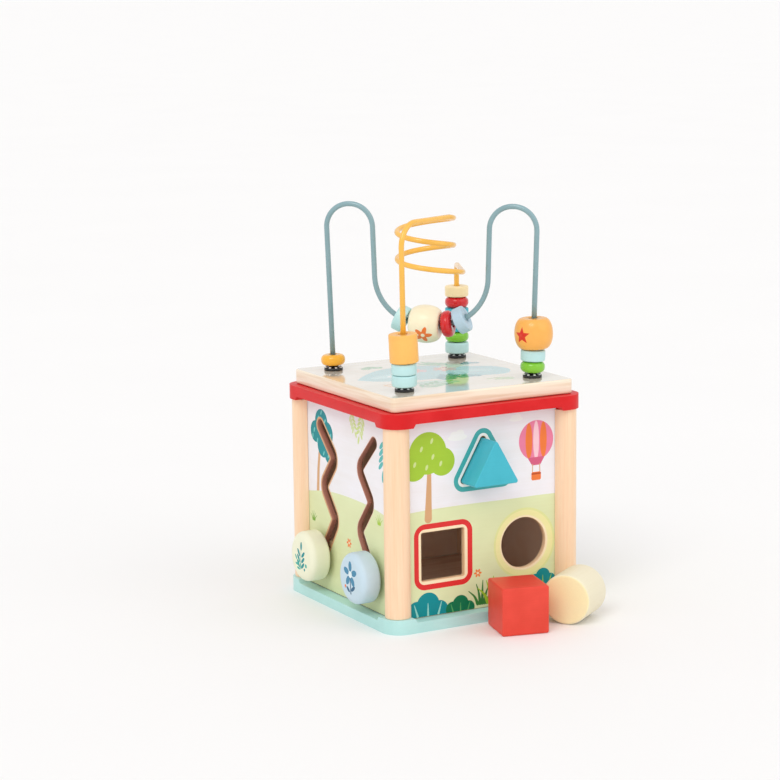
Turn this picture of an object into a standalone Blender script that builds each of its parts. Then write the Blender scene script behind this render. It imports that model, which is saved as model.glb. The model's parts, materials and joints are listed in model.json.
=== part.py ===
"""Wooden activity cube.

A box body with a shape sorter in front and two zig-zag sliders on its left, and a lift-off lid that
carries two wires with beads. Metres, +Z up. The origin is the centre of the base plate's underside.
The shape sorter faces -Y and the sliders face -X.
"""
import math

import bmesh
import bpy
from mathutils import Matrix, Vector

# General clearances
GAP = 0.0003
OVERCUT = 0.005

# Base plate and top frame
PLATE_WIDTH = 0.200
PLATE_THICKNESS = 0.013
PLATE_CORNER_RADIUS = 0.017
PLATE_EDGE_RADIUS = 0.0013
LOBE_LENGTH = 0.026
RABBET_DEPTH = 0.0035
FRAME_BAR_WIDTH = 0.022
FRAME_OPENING_RADIUS = 0.006

# Corner posts; the inset is from the plates' edge to the posts' axes
POST_INSET = 0.0143
POST_RADIUS = 0.0114
POST_LENGTH = 0.168

# Side panels
PANEL_THICKNESS = 0.005
PANEL_TONGUE = 0.004
PANEL_CORNER_RADIUS = 0.0005

# Shape sorter: sizes of the blocks, and where their holes lie on the front panel
BLOCK_CLEARANCE = 0.0005
BLOCK_EDGE_RADIUS = 0.0015
CUBE_SIZE = 0.0425
CYLINDER_DIAMETER = 0.045
CYLINDER_LENGTH = 0.0425
TRIANGLE_SIDE = 0.047
TRIANGLE_LENGTH = 0.0425
TRIANGLE_CORNER_RADIUS = 0.002
TRIANGLE_CLEARANCE = 0.0009
TRIANGLE_HEIGHT = 0.1385
TRIANGLE_STANDS_OUT = 0.0225
LOWER_HOLES_HEIGHT = 0.0635
LOWER_HOLES_OFFSET = 0.0415
SQUARE_HOLE_CORNER_RADIUS = 0.0015

# Where the two loose blocks lie on the floor: distance to the right of the middle and in front of the base
CUBE_PLACE = (0.0074, 0.0338)
CUBE_TURN = math.radians(-13.7)
CYLINDER_PLACE = (0.0666, 0.0322)
CYLINDER_TURN = math.radians(35.5)

# Zig-zag slots: distance from the panel's middle and height of each turn, from the bottom up
SLOT_WIDTH = 0.011
SLOT_TURN_RADIUS = 0.008
SLOT_TURNS = ((0.047, 0.042), (0.022, 0.078), (0.0455, 0.106), (0.022, 0.134), (0.050, 0.161))

# Sliders
PEG_DIAMETER = 0.0095
PEG_SOCKET_DEPTH = 0.010
KNOB_DIAMETER = 0.046
KNOB_THICKNESS = 0.019
KNOB_FACE_RADIUS = 0.006
KNOB_BACK_RADIUS = 0.003
KNOB_STANDS_OFF = 0.0045
RETAINER_DIAMETER = 0.024
RETAINER_THICKNESS = 0.005
RETAINER_CLEARANCE = 0.0006
RETAINER_EDGE_RADIUS = 0.001

# Lid; the insets are from the plates' edge, and from the edge of the frame's opening
LID_INSET = 0.00775
LID_THICKNESS = 0.013
LID_CORNER_RADIUS = 0.005
LID_EDGE_RADIUS = 0.0015
LOCATING_BOARD_THICKNESS = 0.008
LOCATING_BOARD_CLEARANCE = 0.0006
LID_SCREW_INSET = 0.033

# Wires; heights are above the lid's top face
WIRE_RADIUS = 0.0024
WIRE_DEPTH_IN_LID = 0.008
WIRE_HOLE_CLEARANCE = 0.0006
FOOT_INSET = 0.02675
ARCH_TOP = 0.152
ARCH_RADIUS = 0.021
ARCH_LEAN = 0.005
ARCH_SPAN = 0.0431
VALLEY_LEAN = 0.0033
VALLEY_HEIGHT = 0.0455
VALLEY_RADIUS = 0.043
YELLOW_LEG_LEAN = 0.006
YELLOW_TOP = 0.1455
YELLOW_TOP_RADIUS = 0.020
HELIX_CENTRE = (-0.013, -0.013)
HELIX_RADIUS = 0.025
HELIX_TOP = 0.1445
HELIX_PITCH = 0.024
LAST_TURN_RADIUS = 0.029
LAST_TURN_SIDE = math.radians(149.2)
YELLOW_TAIL_HEIGHT = 0.088
YELLOW_TAIL_RADIUS = 0.012

# Wire feet
FOOT_RADIUS = 0.0085
FOOT_FLANGE_THICKNESS = 0.0024
FOOT_BOSS_RADIUS = 0.0044
FOOT_HEIGHT = 0.004

# Beads
BEAD_BORE_RADIUS = 0.0036
LARGE_BEAD_BORE_RADIUS = 0.0043
DISC_DIAMETER = 0.022
VALLEY_DISC_DIAMETER = 0.024
DISC_THICKNESS = 0.010
ROUND_DISC_EDGE = 0.0044
FLAT_DISC_EDGE = 0.0015
CYLINDER_BEAD_DIAMETER = 0.0252
CYLINDER_BEAD_LENGTH = 0.0248
SHORT_CYLINDER_BEAD_LENGTH = 0.0215
CYLINDER_BEAD_EDGE = 0.001
BARREL_DIAMETER = 0.0345
BARREL_LENGTH = 0.0275
BARREL_FACE_RADIUS = 0.0105
VALLEY_BEADS_START = -0.0335
VALLEY_BEAD_DROP = 0.0006
VALLEY_STEP = 0.0001
BEAD_GAP = 0.0004

# Screws: head diameter, head height, shank diameter, shank length
BODY_SCREW = (0.0076, 0.0030, 0.0038, 0.030)
LID_SCREW = (0.0066, 0.0026, 0.0032, 0.014)
SLIDER_SCREW = (0.0064, 0.0022, 0.0030, 0.014)

# Fineness of round shapes
BLOCK_STEPS = 36
ROUND_STEPS = 24
BEAD_STEPS = 18
FINE_STEPS = 16
SMALL_STEPS = 10
BARREL_STEPS = 8
SLOT_END_STEPS = 6
ARC_STEP = math.radians(15)
COIL_STEP = math.radians(19)

# Places and levels that follow from the sizes above
POST_AXIS = PLATE_WIDTH / 2 - POST_INSET
LID_WIDTH = PLATE_WIDTH - 2 * LID_INSET
FOOT_OFFSET = LID_WIDTH / 2 - FOOT_INSET
FRAME_UNDERSIDE = PLATE_THICKNESS + POST_LENGTH
LID_UNDERSIDE = FRAME_UNDERSIDE + PLATE_THICKNESS + GAP
LID_TOP = LID_UNDERSIDE + LID_THICKNESS
PANEL_FACE = POST_AXIS + PANEL_THICKNESS / 2
PANEL_BACK = POST_AXIS - PANEL_THICKNESS / 2
PANEL_HALF_WIDTH = POST_AXIS - POST_RADIUS + PANEL_TONGUE
PANEL_FOOT = PLATE_THICKNESS - RABBET_DEPTH + GAP
PANEL_HEIGHT = FRAME_UNDERSIDE + RABBET_DEPTH - GAP - PANEL_FOOT
FRAME_OPENING = PLATE_WIDTH - 2 * FRAME_BAR_WIDTH
LID_SCREW_OFFSET = FRAME_OPENING / 2 - LID_SCREW_INSET
SQUARE_HOLE = CUBE_SIZE + 2 * BLOCK_CLEARANCE
ROUND_HOLE = CYLINDER_DIAMETER + 2 * BLOCK_CLEARANCE

COLOURS = {
    "mint": ((0.45, 0.74, 0.68), 0.4),
    "pale_mint": ((0.43, 0.70, 0.66), 0.35),
    "red": ((0.80, 0.03, 0.03), 0.35),
    "block_red": ((0.80, 0.09, 0.06), 0.4),
    "peach_wood": ((0.95, 0.70, 0.46), 0.45),
    "clear_wood": ((0.86, 0.70, 0.52), 0.25),
    "plywood": ((0.70, 0.50, 0.33), 0.6),
    "print": ((0.78, 0.80, 0.74), 0.45),
    "cream": ((0.90, 0.80, 0.56), 0.4),
    "cream_green": ((0.83, 0.83, 0.62), 0.4),
    "pale_blue": ((0.56, 0.71, 0.80), 0.35),
    "turquoise": ((0.07, 0.52, 0.62), 0.4),
    "orange": ((0.96, 0.45, 0.09), 0.4),
    "yellow": ((0.96, 0.50, 0.05), 0.35),
    "green": ((0.22, 0.55, 0.03), 0.3),
    "blue_grey": ((0.22, 0.38, 0.40), 0.35),
    "black": ((0.015, 0.015, 0.015), 0.35),
    "steel": ((0.60, 0.60, 0.60), 0.3),
}
METALS = ("steel",)

FOUR_WAYS = ((-1, -1), (1, -1), (1, 1), (-1, 1))
DOWN = Matrix.Rotation(math.pi, 4, "X")


def new_collection(name):
    collection = bpy.data.collections.new(name)
    bpy.context.scene.collection.children.link(collection)
    return collection


def material(part_name, colour):
    """A part's own material, in one of the named colours."""
    rgb, roughness = COLOURS[colour]
    finish = bpy.data.materials.new(part_name)
    finish.use_nodes = True
    shader = finish.node_tree.nodes["Principled BSDF"]
    shader.inputs["Base Color"].default_value = (*rgb, 1.0)
    shader.inputs["Roughness"].default_value = roughness
    shader.inputs["Metallic"].default_value = 1.0 if colour in METALS else 0.0
    return finish


def place(obj, collection, colour=None):
    """Links an object, and gives a part its material or makes a cutter invisible."""
    collection.objects.link(obj)
    if colour:
        obj.data.materials.append(material(obj.name, colour))
    else:
        obj.hide_render = True
        obj.display_type = "WIRE"
    return obj


def as_mesh(obj):
    """Turns a curve or a modified object into a plain mesh object with welded caps."""
    bpy.context.view_layer.update()
    evaluated = obj.evaluated_get(bpy.context.evaluated_depsgraph_get())
    mesh = bpy.data.meshes.new_from_object(evaluated)
    welder = bmesh.new()
    welder.from_mesh(mesh)
    bmesh.ops.remove_doubles(welder, verts=welder.verts, dist=0.00001)
    welder.to_mesh(mesh)
    welder.free()
    name, matrix, collections = obj.name, obj.matrix_world.copy(), list(obj.users_collection)
    hidden, display = obj.hide_render, obj.display_type
    bpy.data.objects.remove(obj)
    solid = bpy.data.objects.new(name, mesh)
    solid.matrix_world = matrix
    solid.hide_render, solid.display_type = hidden, display
    for collection in collections:
        collection.objects.link(solid)
    return solid


def turned(name, profile, collection, colour=None, steps=ROUND_STEPS, ring=False):
    """Turns (radius, height) points about Z.

    The points run down the outer side, and those of a ring then come back up its bore.
    """
    count = len(profile)
    edges = [(i, i + 1) for i in range(count - 1)]
    if ring:
        edges.append((count - 1, 0))
    mesh = bpy.data.meshes.new(name)
    mesh.from_pydata([(radius, 0.0, height) for radius, height in profile], edges, [])
    obj = bpy.data.objects.new(name, mesh)
    screw = obj.modifiers.new("turn", "SCREW")
    screw.axis = "Z"
    screw.steps = steps
    screw.render_steps = steps
    screw.use_merge_vertices = True
    screw.merge_threshold = 0.00001
    return place(obj, collection, colour)


def flat_solid(name, outlines, thickness, collection, colour=None):
    """A flat piece centred on its own XY plane; the outlines after the first are its holes."""
    curve = bpy.data.curves.new(name, "CURVE")
    curve.dimensions = "2D"
    curve.fill_mode = "BOTH"
    curve.extrude = thickness / 2
    for outline in outlines:
        spline = curve.splines.new("POLY")
        spline.points.add(len(outline) - 1)
        for point, (x, y) in zip(spline.points, outline):
            point.co = (x, y, 0.0, 1.0)
        spline.use_cyclic_u = True
    return as_mesh(place(bpy.data.objects.new(name, curve), collection, colour))


def box(name, low, high, collection, colour=None):
    """A box between two corners."""
    mesh = bpy.data.meshes.new(name)
    shape = bmesh.new()
    bmesh.ops.create_cube(shape, size=1.0)
    low, high = Vector(low), Vector(high)
    shape.transform(Matrix.Translation((low + high) / 2) @ Matrix.Diagonal((*(high - low), 1.0)))
    shape.to_mesh(mesh)
    shape.free()
    return place(bpy.data.objects.new(name, mesh), collection, colour)


def cut(obj, cutters):
    for number, cutter in enumerate(cutters):
        boolean = obj.modifiers.new(f"cut_{number}", "BOOLEAN")
        boolean.operation = "DIFFERENCE"
        boolean.solver = "EXACT"
        boolean.object = cutter


def group(name, pattern, matrices, collection):
    """A cutter made of copies of one mesh object; the pattern is used up."""
    pattern = as_mesh(pattern)
    joined = bmesh.new()
    for matrix in matrices:
        copy = pattern.data.copy()
        copy.transform(matrix)
        joined.from_mesh(copy)
        bpy.data.meshes.remove(copy)
    bpy.data.objects.remove(pattern)
    mesh = bpy.data.meshes.new(name)
    joined.to_mesh(mesh)
    joined.free()
    return place(bpy.data.objects.new(name, mesh), collection)


def arc(centre, radius, start, end, steps):
    """Points (u, v) of an arc, both ends included."""
    angles = [start + (end - start) * i / steps for i in range(steps + 1)]
    return [(centre[0] + radius * math.cos(a), centre[1] + radius * math.sin(a)) for a in angles]


def rounded_path(points, radii):
    """A path through points whose inner corners are rounded; there is a radius for each inner point."""
    points = [Vector(p) for p in points]
    path = [points[0]]
    for before, corner, after, radius in zip(points, points[1:], points[2:], radii):
        way_in = (corner - before).normalized()
        way_out = (after - corner).normalized()
        turn = way_in.angle(way_out)
        inward = (way_out - way_in * way_in.dot(way_out)).normalized()
        centre = corner - way_in * radius * math.tan(turn / 2) + inward * radius
        steps = max(1, math.ceil(turn / ARC_STEP))
        for i in range(steps + 1):
            angle = turn * i / steps
            path.append(centre - inward * radius * math.cos(angle) + way_in * radius * math.sin(angle))
    path.append(points[-1])
    return path


def rounded_outline(corners, radius):
    """A closed outline with every corner rounded, anticlockwise."""
    middle = (Vector(corners[-1]) + Vector(corners[0])) / 2
    path = rounded_path([middle, *corners, middle], [radius] * len(corners))
    return [(p.x, p.y) for p in path[:-1]]


def rounded_rectangle(width, height, radius, centre=(0.0, 0.0)):
    x, y = centre
    corners = [(x + sx * width / 2, y + sy * height / 2) for sx, sy in FOUR_WAYS]
    return rounded_outline(corners, radius)


def circle(centre, radius, steps):
    return arc(centre, radius, 0.0, 2 * math.pi, steps)[:-1]


def rounded_triangle(side, radius, centre, margin=0.0):
    """An equilateral triangle standing on one side, widened all round by a margin."""
    core = side / math.sqrt(3) - 2 * radius
    reach = core + 2 * (radius + margin)
    corners = [(centre[0] + reach * math.cos(a), centre[1] + reach * math.sin(a))
               for a in (math.radians(angle) for angle in (-150, -30, 90))]
    return rounded_outline(corners, radius + margin)


def widened(path, half_width):
    """The closed outline of a flat path of the given half width, with round ends."""
    sides = []
    for index, point in enumerate(path):
        before = path[max(index - 1, 0)]
        after = path[min(index + 1, len(path) - 1)]
        along = (after - before).normalized()
        sides.append((point, Vector((-along.y, along.x)) * half_width))
    right = [tuple(point - side) for point, side in sides]
    left = [tuple(point + side) for point, side in sides]
    first, last = sides[0][1], sides[-1][1]
    turn = math.atan2(-last.y, -last.x)
    end = arc(path[-1], half_width, turn, turn + math.pi, SLOT_END_STEPS)[1:-1]
    turn = math.atan2(first.y, first.x)
    start = arc(path[0], half_width, turn, turn + math.pi, SLOT_END_STEPS)[1:-1]
    return right + end + left[::-1] + start


def aligned(location, direction):
    """The matrix that takes +Z to a direction and the origin to a location."""
    return Matrix.Translation(location) @ Vector(direction).to_track_quat("Z", "Y").to_matrix().to_4x4()


# Hardware

def screw_profile(size, flat_head):
    """Outer side of a screw whose head's top is at height 0 and whose shank points down."""
    head, height, shank, length = size
    if flat_head:
        crown = [(0.0, 0.0), (head / 2, 0.0)]
    else:
        crown = [(u * head / 2, (v - 1) * height) for u, v in arc((0.0, 0.0), 1.0, math.pi / 2, 0.0, 3)]
    point = -height - length
    return crown + [(shank / 2, -height), (shank / 2, point + shank), (0.0, point)]


def screw(name, size, matrix, collection, flat_head=True):
    turned(name, screw_profile(size, flat_head), collection, "steel", SMALL_STEPS).matrix_world = matrix


def screw_holes(name, size, matrices, collection):
    """The cutter for flat-headed screws, wider all round by the gap and open above the head."""
    head, height, shank, length = size
    wide = shank / 2 + GAP
    profile = [(0.0, OVERCUT), (head / 2 + GAP, OVERCUT), (head / 2 + GAP, -GAP),
               (wide, -height - GAP), (wide, -height - length - GAP), (0.0, -height - length - GAP)]
    pattern = turned(name + "_pattern", profile, collection, None, SMALL_STEPS)
    return group(name, pattern, matrices, collection)


def at_corners(offset, height, flip=False):
    """Places at the four corners of a square, for screws that enter from above, or from below."""
    turn = DOWN if flip else Matrix.Identity(4)
    return [Matrix.Translation((sx * offset, sy * offset, height)) @ turn for sx, sy in FOUR_WAYS]


# Body

def plate_cutters(name, inner_face, up, collection):
    """Cuts a plate's panel grooves and its stopped rabbets, on the side where its inner face is."""
    low, high = sorted((inner_face - up * RABBET_DEPTH, inner_face + up * OVERCUT))
    near, far = PANEL_BACK - GAP, PANEL_FACE + GAP
    long, short = PANEL_HALF_WIDTH + GAP, PLATE_WIDTH / 2 - LOBE_LENGTH
    edge = PLATE_WIDTH / 2 + OVERCUT
    cutters = []
    for side, quarter in (("front", 0), ("right", 1), ("back", 2), ("left", 3)):
        turn = Matrix.Rotation(quarter * math.pi / 2, 4, "Z")
        groove = box(f"{name}_{side}_groove", (-long, -far, low), (long, -near, high), collection)
        rabbet = box(f"{name}_{side}_rabbet", (-short, -edge, low), (short, -near - GAP, high), collection)
        for cutter in (groove, rabbet):
            cutter.data.transform(turn)
            cutters.append(cutter)
    return cutters


def soften(obj, radius):
    """Chamfers every sharp edge."""
    bevel = obj.modifiers.new("soft_edges", "BEVEL")
    bevel.width = radius
    bevel.segments = 1
    bevel.limit_method = "ANGLE"
    bevel.angle_limit = math.radians(50)


def base_plate(parts, cutters):
    outline = rounded_rectangle(PLATE_WIDTH, PLATE_WIDTH, PLATE_CORNER_RADIUS)
    plate = flat_solid("base_plate", [outline], PLATE_THICKNESS, parts, "mint")
    plate.data.transform(Matrix.Translation((0, 0, PLATE_THICKNESS / 2)))
    cut(plate, plate_cutters("base", PLATE_THICKNESS, 1, cutters))
    soften(plate, PLATE_EDGE_RADIUS)
    places = at_corners(POST_AXIS, GAP, flip=True)
    cut(plate, [screw_holes("base_screw_holes", BODY_SCREW, places, cutters)])
    for number, here in enumerate(places, 1):
        screw(f"base_screw_{number}", BODY_SCREW, here, parts)


def top_frame(parts, cutters):
    outline = rounded_rectangle(PLATE_WIDTH, PLATE_WIDTH, PLATE_CORNER_RADIUS)
    opening = rounded_rectangle(FRAME_OPENING, FRAME_OPENING, FRAME_OPENING_RADIUS)
    frame = flat_solid("top_frame", [outline, opening], PLATE_THICKNESS, parts, "red")
    frame.data.transform(Matrix.Translation((0, 0, FRAME_UNDERSIDE + PLATE_THICKNESS / 2)))
    cut(frame, plate_cutters("frame", FRAME_UNDERSIDE, -1, cutters))
    soften(frame, PLATE_EDGE_RADIUS)
    places = at_corners(POST_AXIS, FRAME_UNDERSIDE + PLATE_THICKNESS - GAP)
    cut(frame, [screw_holes("frame_screw_holes", BODY_SCREW, places, cutters)])
    for number, here in enumerate(places, 1):
        screw(f"frame_screw_{number}", BODY_SCREW, here, parts)


def posts(parts, cutters):
    """Four round posts, each with a groove along two sides for the panels and a pilot hole at each end."""
    length = POST_LENGTH - 2 * GAP
    names = ("post_front_left", "post_front_right", "post_back_right", "post_back_left")
    for name, (sx, sy) in zip(names, FOUR_WAYS):
        profile = [(0.0, length), (POST_RADIUS, length), (POST_RADIUS, 0.0), (0.0, 0.0)]
        post = as_mesh(turned(name, profile, parts, "peach_wood"))
        post.location = (sx * POST_AXIS, sy * POST_AXIS, PLATE_THICKNESS + GAP)
        low, high = PLATE_THICKNESS - OVERCUT, FRAME_UNDERSIDE + OVERCUT
        half = PANEL_THICKNESS / 2 + GAP
        across = (POST_AXIS - POST_RADIUS - OVERCUT, PANEL_HALF_WIDTH + GAP)
        along = (POST_AXIS - half, POST_AXIS + half)
        grooves = []
        for way in ("x", "y"):
            xs, ys = (across, along) if way == "x" else (along, across)
            xs, ys = sorted(sx * x for x in xs), sorted(sy * y for y in ys)
            grooves.append(box(f"{name}_groove_{way}", (xs[0], ys[0], low), (xs[1], ys[1], high), cutters))
        cut(post, grooves)
        cut(post, [bpy.data.objects["base_screw_holes"], bpy.data.objects["frame_screw_holes"]])


def upright(obj, quarter):
    """Stands a flat piece up as the panel of one side; 0 is the front, 1 the right side."""
    matrix = Matrix.Rotation(quarter * math.pi / 2, 4, "Z") @ Matrix.Translation((0, -POST_AXIS, 0))
    obj.data.transform(matrix @ Matrix.Rotation(math.pi / 2, 4, "X"))
    return obj


def slot_path(side):
    """Middle line of a zig-zag slot, bottom end first; side is -1 or 1 along the left panel's width."""
    turns = [(side * out, height) for out, height in SLOT_TURNS]
    return rounded_path(turns, [SLOT_TURN_RADIUS] * (len(turns) - 2))


def panels(parts):
    outline = rounded_rectangle(2 * PANEL_HALF_WIDTH, PANEL_HEIGHT, PANEL_CORNER_RADIUS,
                                (0.0, PANEL_FOOT + PANEL_HEIGHT / 2))
    square = rounded_rectangle(SQUARE_HOLE, SQUARE_HOLE, SQUARE_HOLE_CORNER_RADIUS,
                               (-LOWER_HOLES_OFFSET, LOWER_HOLES_HEIGHT))
    round_hole = circle((LOWER_HOLES_OFFSET, LOWER_HOLES_HEIGHT), ROUND_HOLE / 2, BLOCK_STEPS)
    triangle = rounded_triangle(TRIANGLE_SIDE, TRIANGLE_CORNER_RADIUS, (0.0, TRIANGLE_HEIGHT),
                                TRIANGLE_CLEARANCE)
    slots = [widened(slot_path(side), SLOT_WIDTH / 2) for side in (-1, 1)]
    shapes = {"front_panel": [outline, square, round_hole, triangle], "right_panel": [outline],
              "back_panel": [outline], "left_panel": [outline, *slots]}
    for quarter, (name, outlines) in enumerate(shapes.items()):
        upright(flat_solid(name, outlines, PANEL_THICKNESS, parts, "print"), quarter)


# Sliders of the left panel

def sliders(parts, cutters):
    """Each slider has a knob outside, a peg through the slot, and a retaining disc and a screw inside."""
    peg = PEG_DIAMETER / 2
    knob_back = PANEL_FACE + KNOB_STANDS_OFF
    knob_face = knob_back + KNOB_THICKNESS
    retainer_out = PANEL_BACK - RETAINER_CLEARANCE
    retainer_in = retainer_out - RETAINER_THICKNESS
    head, height, shank, length = SLIDER_SCREW
    knob_r, back_r, face_r = KNOB_DIAMETER / 2, KNOB_BACK_RADIUS, KNOB_FACE_RADIUS
    rim = arc((knob_r - face_r, knob_face - face_r), face_r, math.pi / 2, 0, 3)
    rim += arc((knob_r - back_r, knob_back + back_r), back_r, 0, -math.pi / 2, 2)
    socket_end = knob_back + PEG_SOCKET_DEPTH
    socket = [(peg + GAP, knob_back), (peg + GAP, socket_end), (0.0, socket_end)]
    knob_profile = [(0.0, knob_face), *rim, *socket]
    peg_end = socket_end - GAP
    bore = shank / 2 + GAP
    peg_profile = [(0.0, peg_end), (peg, peg_end), (peg, retainer_out + GAP), (bore, retainer_out + GAP),
                   (bore, retainer_in + length + GAP), (0.0, retainer_in + length + GAP)]
    rim_r, edge = RETAINER_DIAMETER / 2, RETAINER_EDGE_RADIUS
    retainer_profile = [(bore, retainer_out), (rim_r - edge, retainer_out), (rim_r, retainer_out - edge),
                        (rim_r, retainer_in + edge), (rim_r - edge, retainer_in), (bore, retainer_in)]
    to_left = Matrix.Rotation(-math.pi / 2, 4, "Y")
    screw_head_top = retainer_in - GAP - height
    out, low = SLOT_TURNS[0]
    for name, side, colour in (("left", 1, "cream_green"), ("right", -1, "pale_blue")):
        here = Matrix.Translation((0.0, side * out, low)) @ to_left
        turned(f"slider_knob_{name}", knob_profile, parts, colour).matrix_world = here
        turned(f"slider_peg_{name}", peg_profile, parts, "peach_wood", FINE_STEPS).matrix_world = here
        disc = turned(f"slider_disc_{name}", retainer_profile, parts, "plywood", BEAD_STEPS, ring=True)
        disc.matrix_world = here
        screw_place = here @ Matrix.Translation((0, 0, screw_head_top)) @ DOWN
        screw(f"slider_screw_{name}", SLIDER_SCREW, screw_place, parts, flat_head=False)


# Shape blocks

def shape_blocks(parts):
    """The triangle block rests half way in its hole; the cube and the cylinder lie on the floor."""
    outline = rounded_triangle(TRIANGLE_SIDE, TRIANGLE_CORNER_RADIUS, (0.0, 0.0))
    triangle = flat_solid("triangle_block", [outline], TRIANGLE_LENGTH, parts, "turquoise")
    soften(triangle, BLOCK_EDGE_RADIUS / 2)
    sink = TRIANGLE_CLEARANCE - GAP
    middle = -(PANEL_FACE + TRIANGLE_STANDS_OUT - TRIANGLE_LENGTH / 2)
    triangle.data.transform(Matrix.Rotation(math.pi / 2, 4, "X"))
    triangle.location = (0.0, middle, TRIANGLE_HEIGHT - sink)

    half = CUBE_SIZE / 2
    cube = box("cube_block", (-half, -half, -half), (half, half, half), parts, "block_red")
    cube.location = (CUBE_PLACE[0], -PLATE_WIDTH / 2 - CUBE_PLACE[1], half)
    cube.rotation_euler.z = CUBE_TURN
    soften(cube, BLOCK_EDGE_RADIUS)

    radius, half, edge = CYLINDER_DIAMETER / 2, CYLINDER_LENGTH / 2, BLOCK_EDGE_RADIUS
    profile = [(0.0, half), (radius - edge, half), (radius, half - edge),
               (radius, edge - half), (radius - edge, -half), (0.0, -half)]
    cylinder = turned("cylinder_block", profile, parts, "cream", BLOCK_STEPS)
    axis = (math.cos(CYLINDER_TURN), math.sin(CYLINDER_TURN), 0.0)
    middle = (CYLINDER_PLACE[0], -PLATE_WIDTH / 2 - CYLINDER_PLACE[1], radius)
    cylinder.matrix_world = aligned(middle, axis)


# Lid and its wires

def lid(parts, cutters):
    outline = rounded_rectangle(LID_WIDTH, LID_WIDTH, LID_CORNER_RADIUS)
    board = flat_solid("lid_board", [outline], LID_THICKNESS, parts, "clear_wood")
    board.data.transform(Matrix.Translation((0, 0, LID_TOP - LID_THICKNESS / 2)))
    soften(board, LID_EDGE_RADIUS)
    inner_width = FRAME_OPENING - 2 * LOCATING_BOARD_CLEARANCE
    inner_outline = rounded_rectangle(inner_width, inner_width, FRAME_OPENING_RADIUS)
    inner = flat_solid("lid_locating_board", [inner_outline], LOCATING_BOARD_THICKNESS, parts, "plywood")
    inner_top = LID_UNDERSIDE - GAP
    inner.data.transform(Matrix.Translation((0, 0, inner_top - LOCATING_BOARD_THICKNESS / 2)))

    places = at_corners(LID_SCREW_OFFSET, inner_top - LOCATING_BOARD_THICKNESS + GAP, flip=True)
    lid_holes = screw_holes("lid_screw_holes", LID_SCREW, places, cutters)
    for number, here in enumerate(places, 1):
        screw(f"lid_screw_{number}", LID_SCREW, here, parts)
    cut(inner, [lid_holes])

    radius = WIRE_RADIUS + WIRE_HOLE_CLEARANCE
    depth = WIRE_DEPTH_IN_LID + GAP
    profile = [(0.0, OVERCUT), (radius, OVERCUT), (radius, -depth), (0.0, -depth)]
    pattern = turned("wire_holes_pattern", profile, cutters, None, FINE_STEPS)
    wire_holes = group("wire_holes", pattern, at_corners(FOOT_OFFSET, LID_TOP), cutters)
    cut(board, [lid_holes, wire_holes])
    wire_feet(parts)


def wire_feet(parts):
    """A flange with a collar round each wire end."""
    bore = WIRE_RADIUS + WIRE_HOLE_CLEARANCE
    flange = FOOT_FLANGE_THICKNESS
    profile = [(bore, FOOT_HEIGHT), (FOOT_BOSS_RADIUS, FOOT_HEIGHT), (FOOT_BOSS_RADIUS, flange),
               (FOOT_RADIUS, flange), (FOOT_RADIUS, 0.0), (bore, 0.0)]
    names = ("wire_foot_front", "wire_foot_right", "wire_foot_back", "wire_foot_left")
    for name, (sx, sy) in zip(names, FOUR_WAYS):
        foot = turned(name, profile, parts, "black", FINE_STEPS, ring=True)
        foot.location = (sx * FOOT_OFFSET, sy * FOOT_OFFSET, LID_TOP + GAP)


def blue_path():
    """Left foot, arch, valley, arch, right foot, in the upright plane through the two feet."""
    foot = FOOT_OFFSET * math.sqrt(2)
    outer = foot + ARCH_LEAN
    inner = outer - ARCH_SPAN
    half = [(foot, 0.0), (outer, ARCH_TOP), (inner, ARCH_TOP), (inner - VALLEY_LEAN, VALLEY_HEIGHT)]
    left = [(-s, z) for s, z in half]
    outward = (Vector(half[1]) - Vector(half[0])).normalized()
    end = Vector(half[0]) - outward * WIRE_DEPTH_IN_LID
    flat = [(-end.x, end.y), *left[1:], *half[:0:-1], (end.x, end.y)]
    along = Vector((1, -1, 0)).normalized()
    points = [along * s + Vector((0, 0, LID_TOP + z)) for s, z in flat]
    radii = [ARCH_RADIUS, ARCH_RADIUS, VALLEY_RADIUS]
    return rounded_path(points, radii + radii[::-1])


def tangent_angle(centre, radius, point, arriving):
    """Where an anticlockwise circle is joined from a point outside it, or left towards it."""
    way = Vector(point[:2]) - Vector(centre)
    spread = math.acos(radius / way.length)
    return math.atan2(way.y, way.x) + (spread if arriving else -spread)


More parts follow.
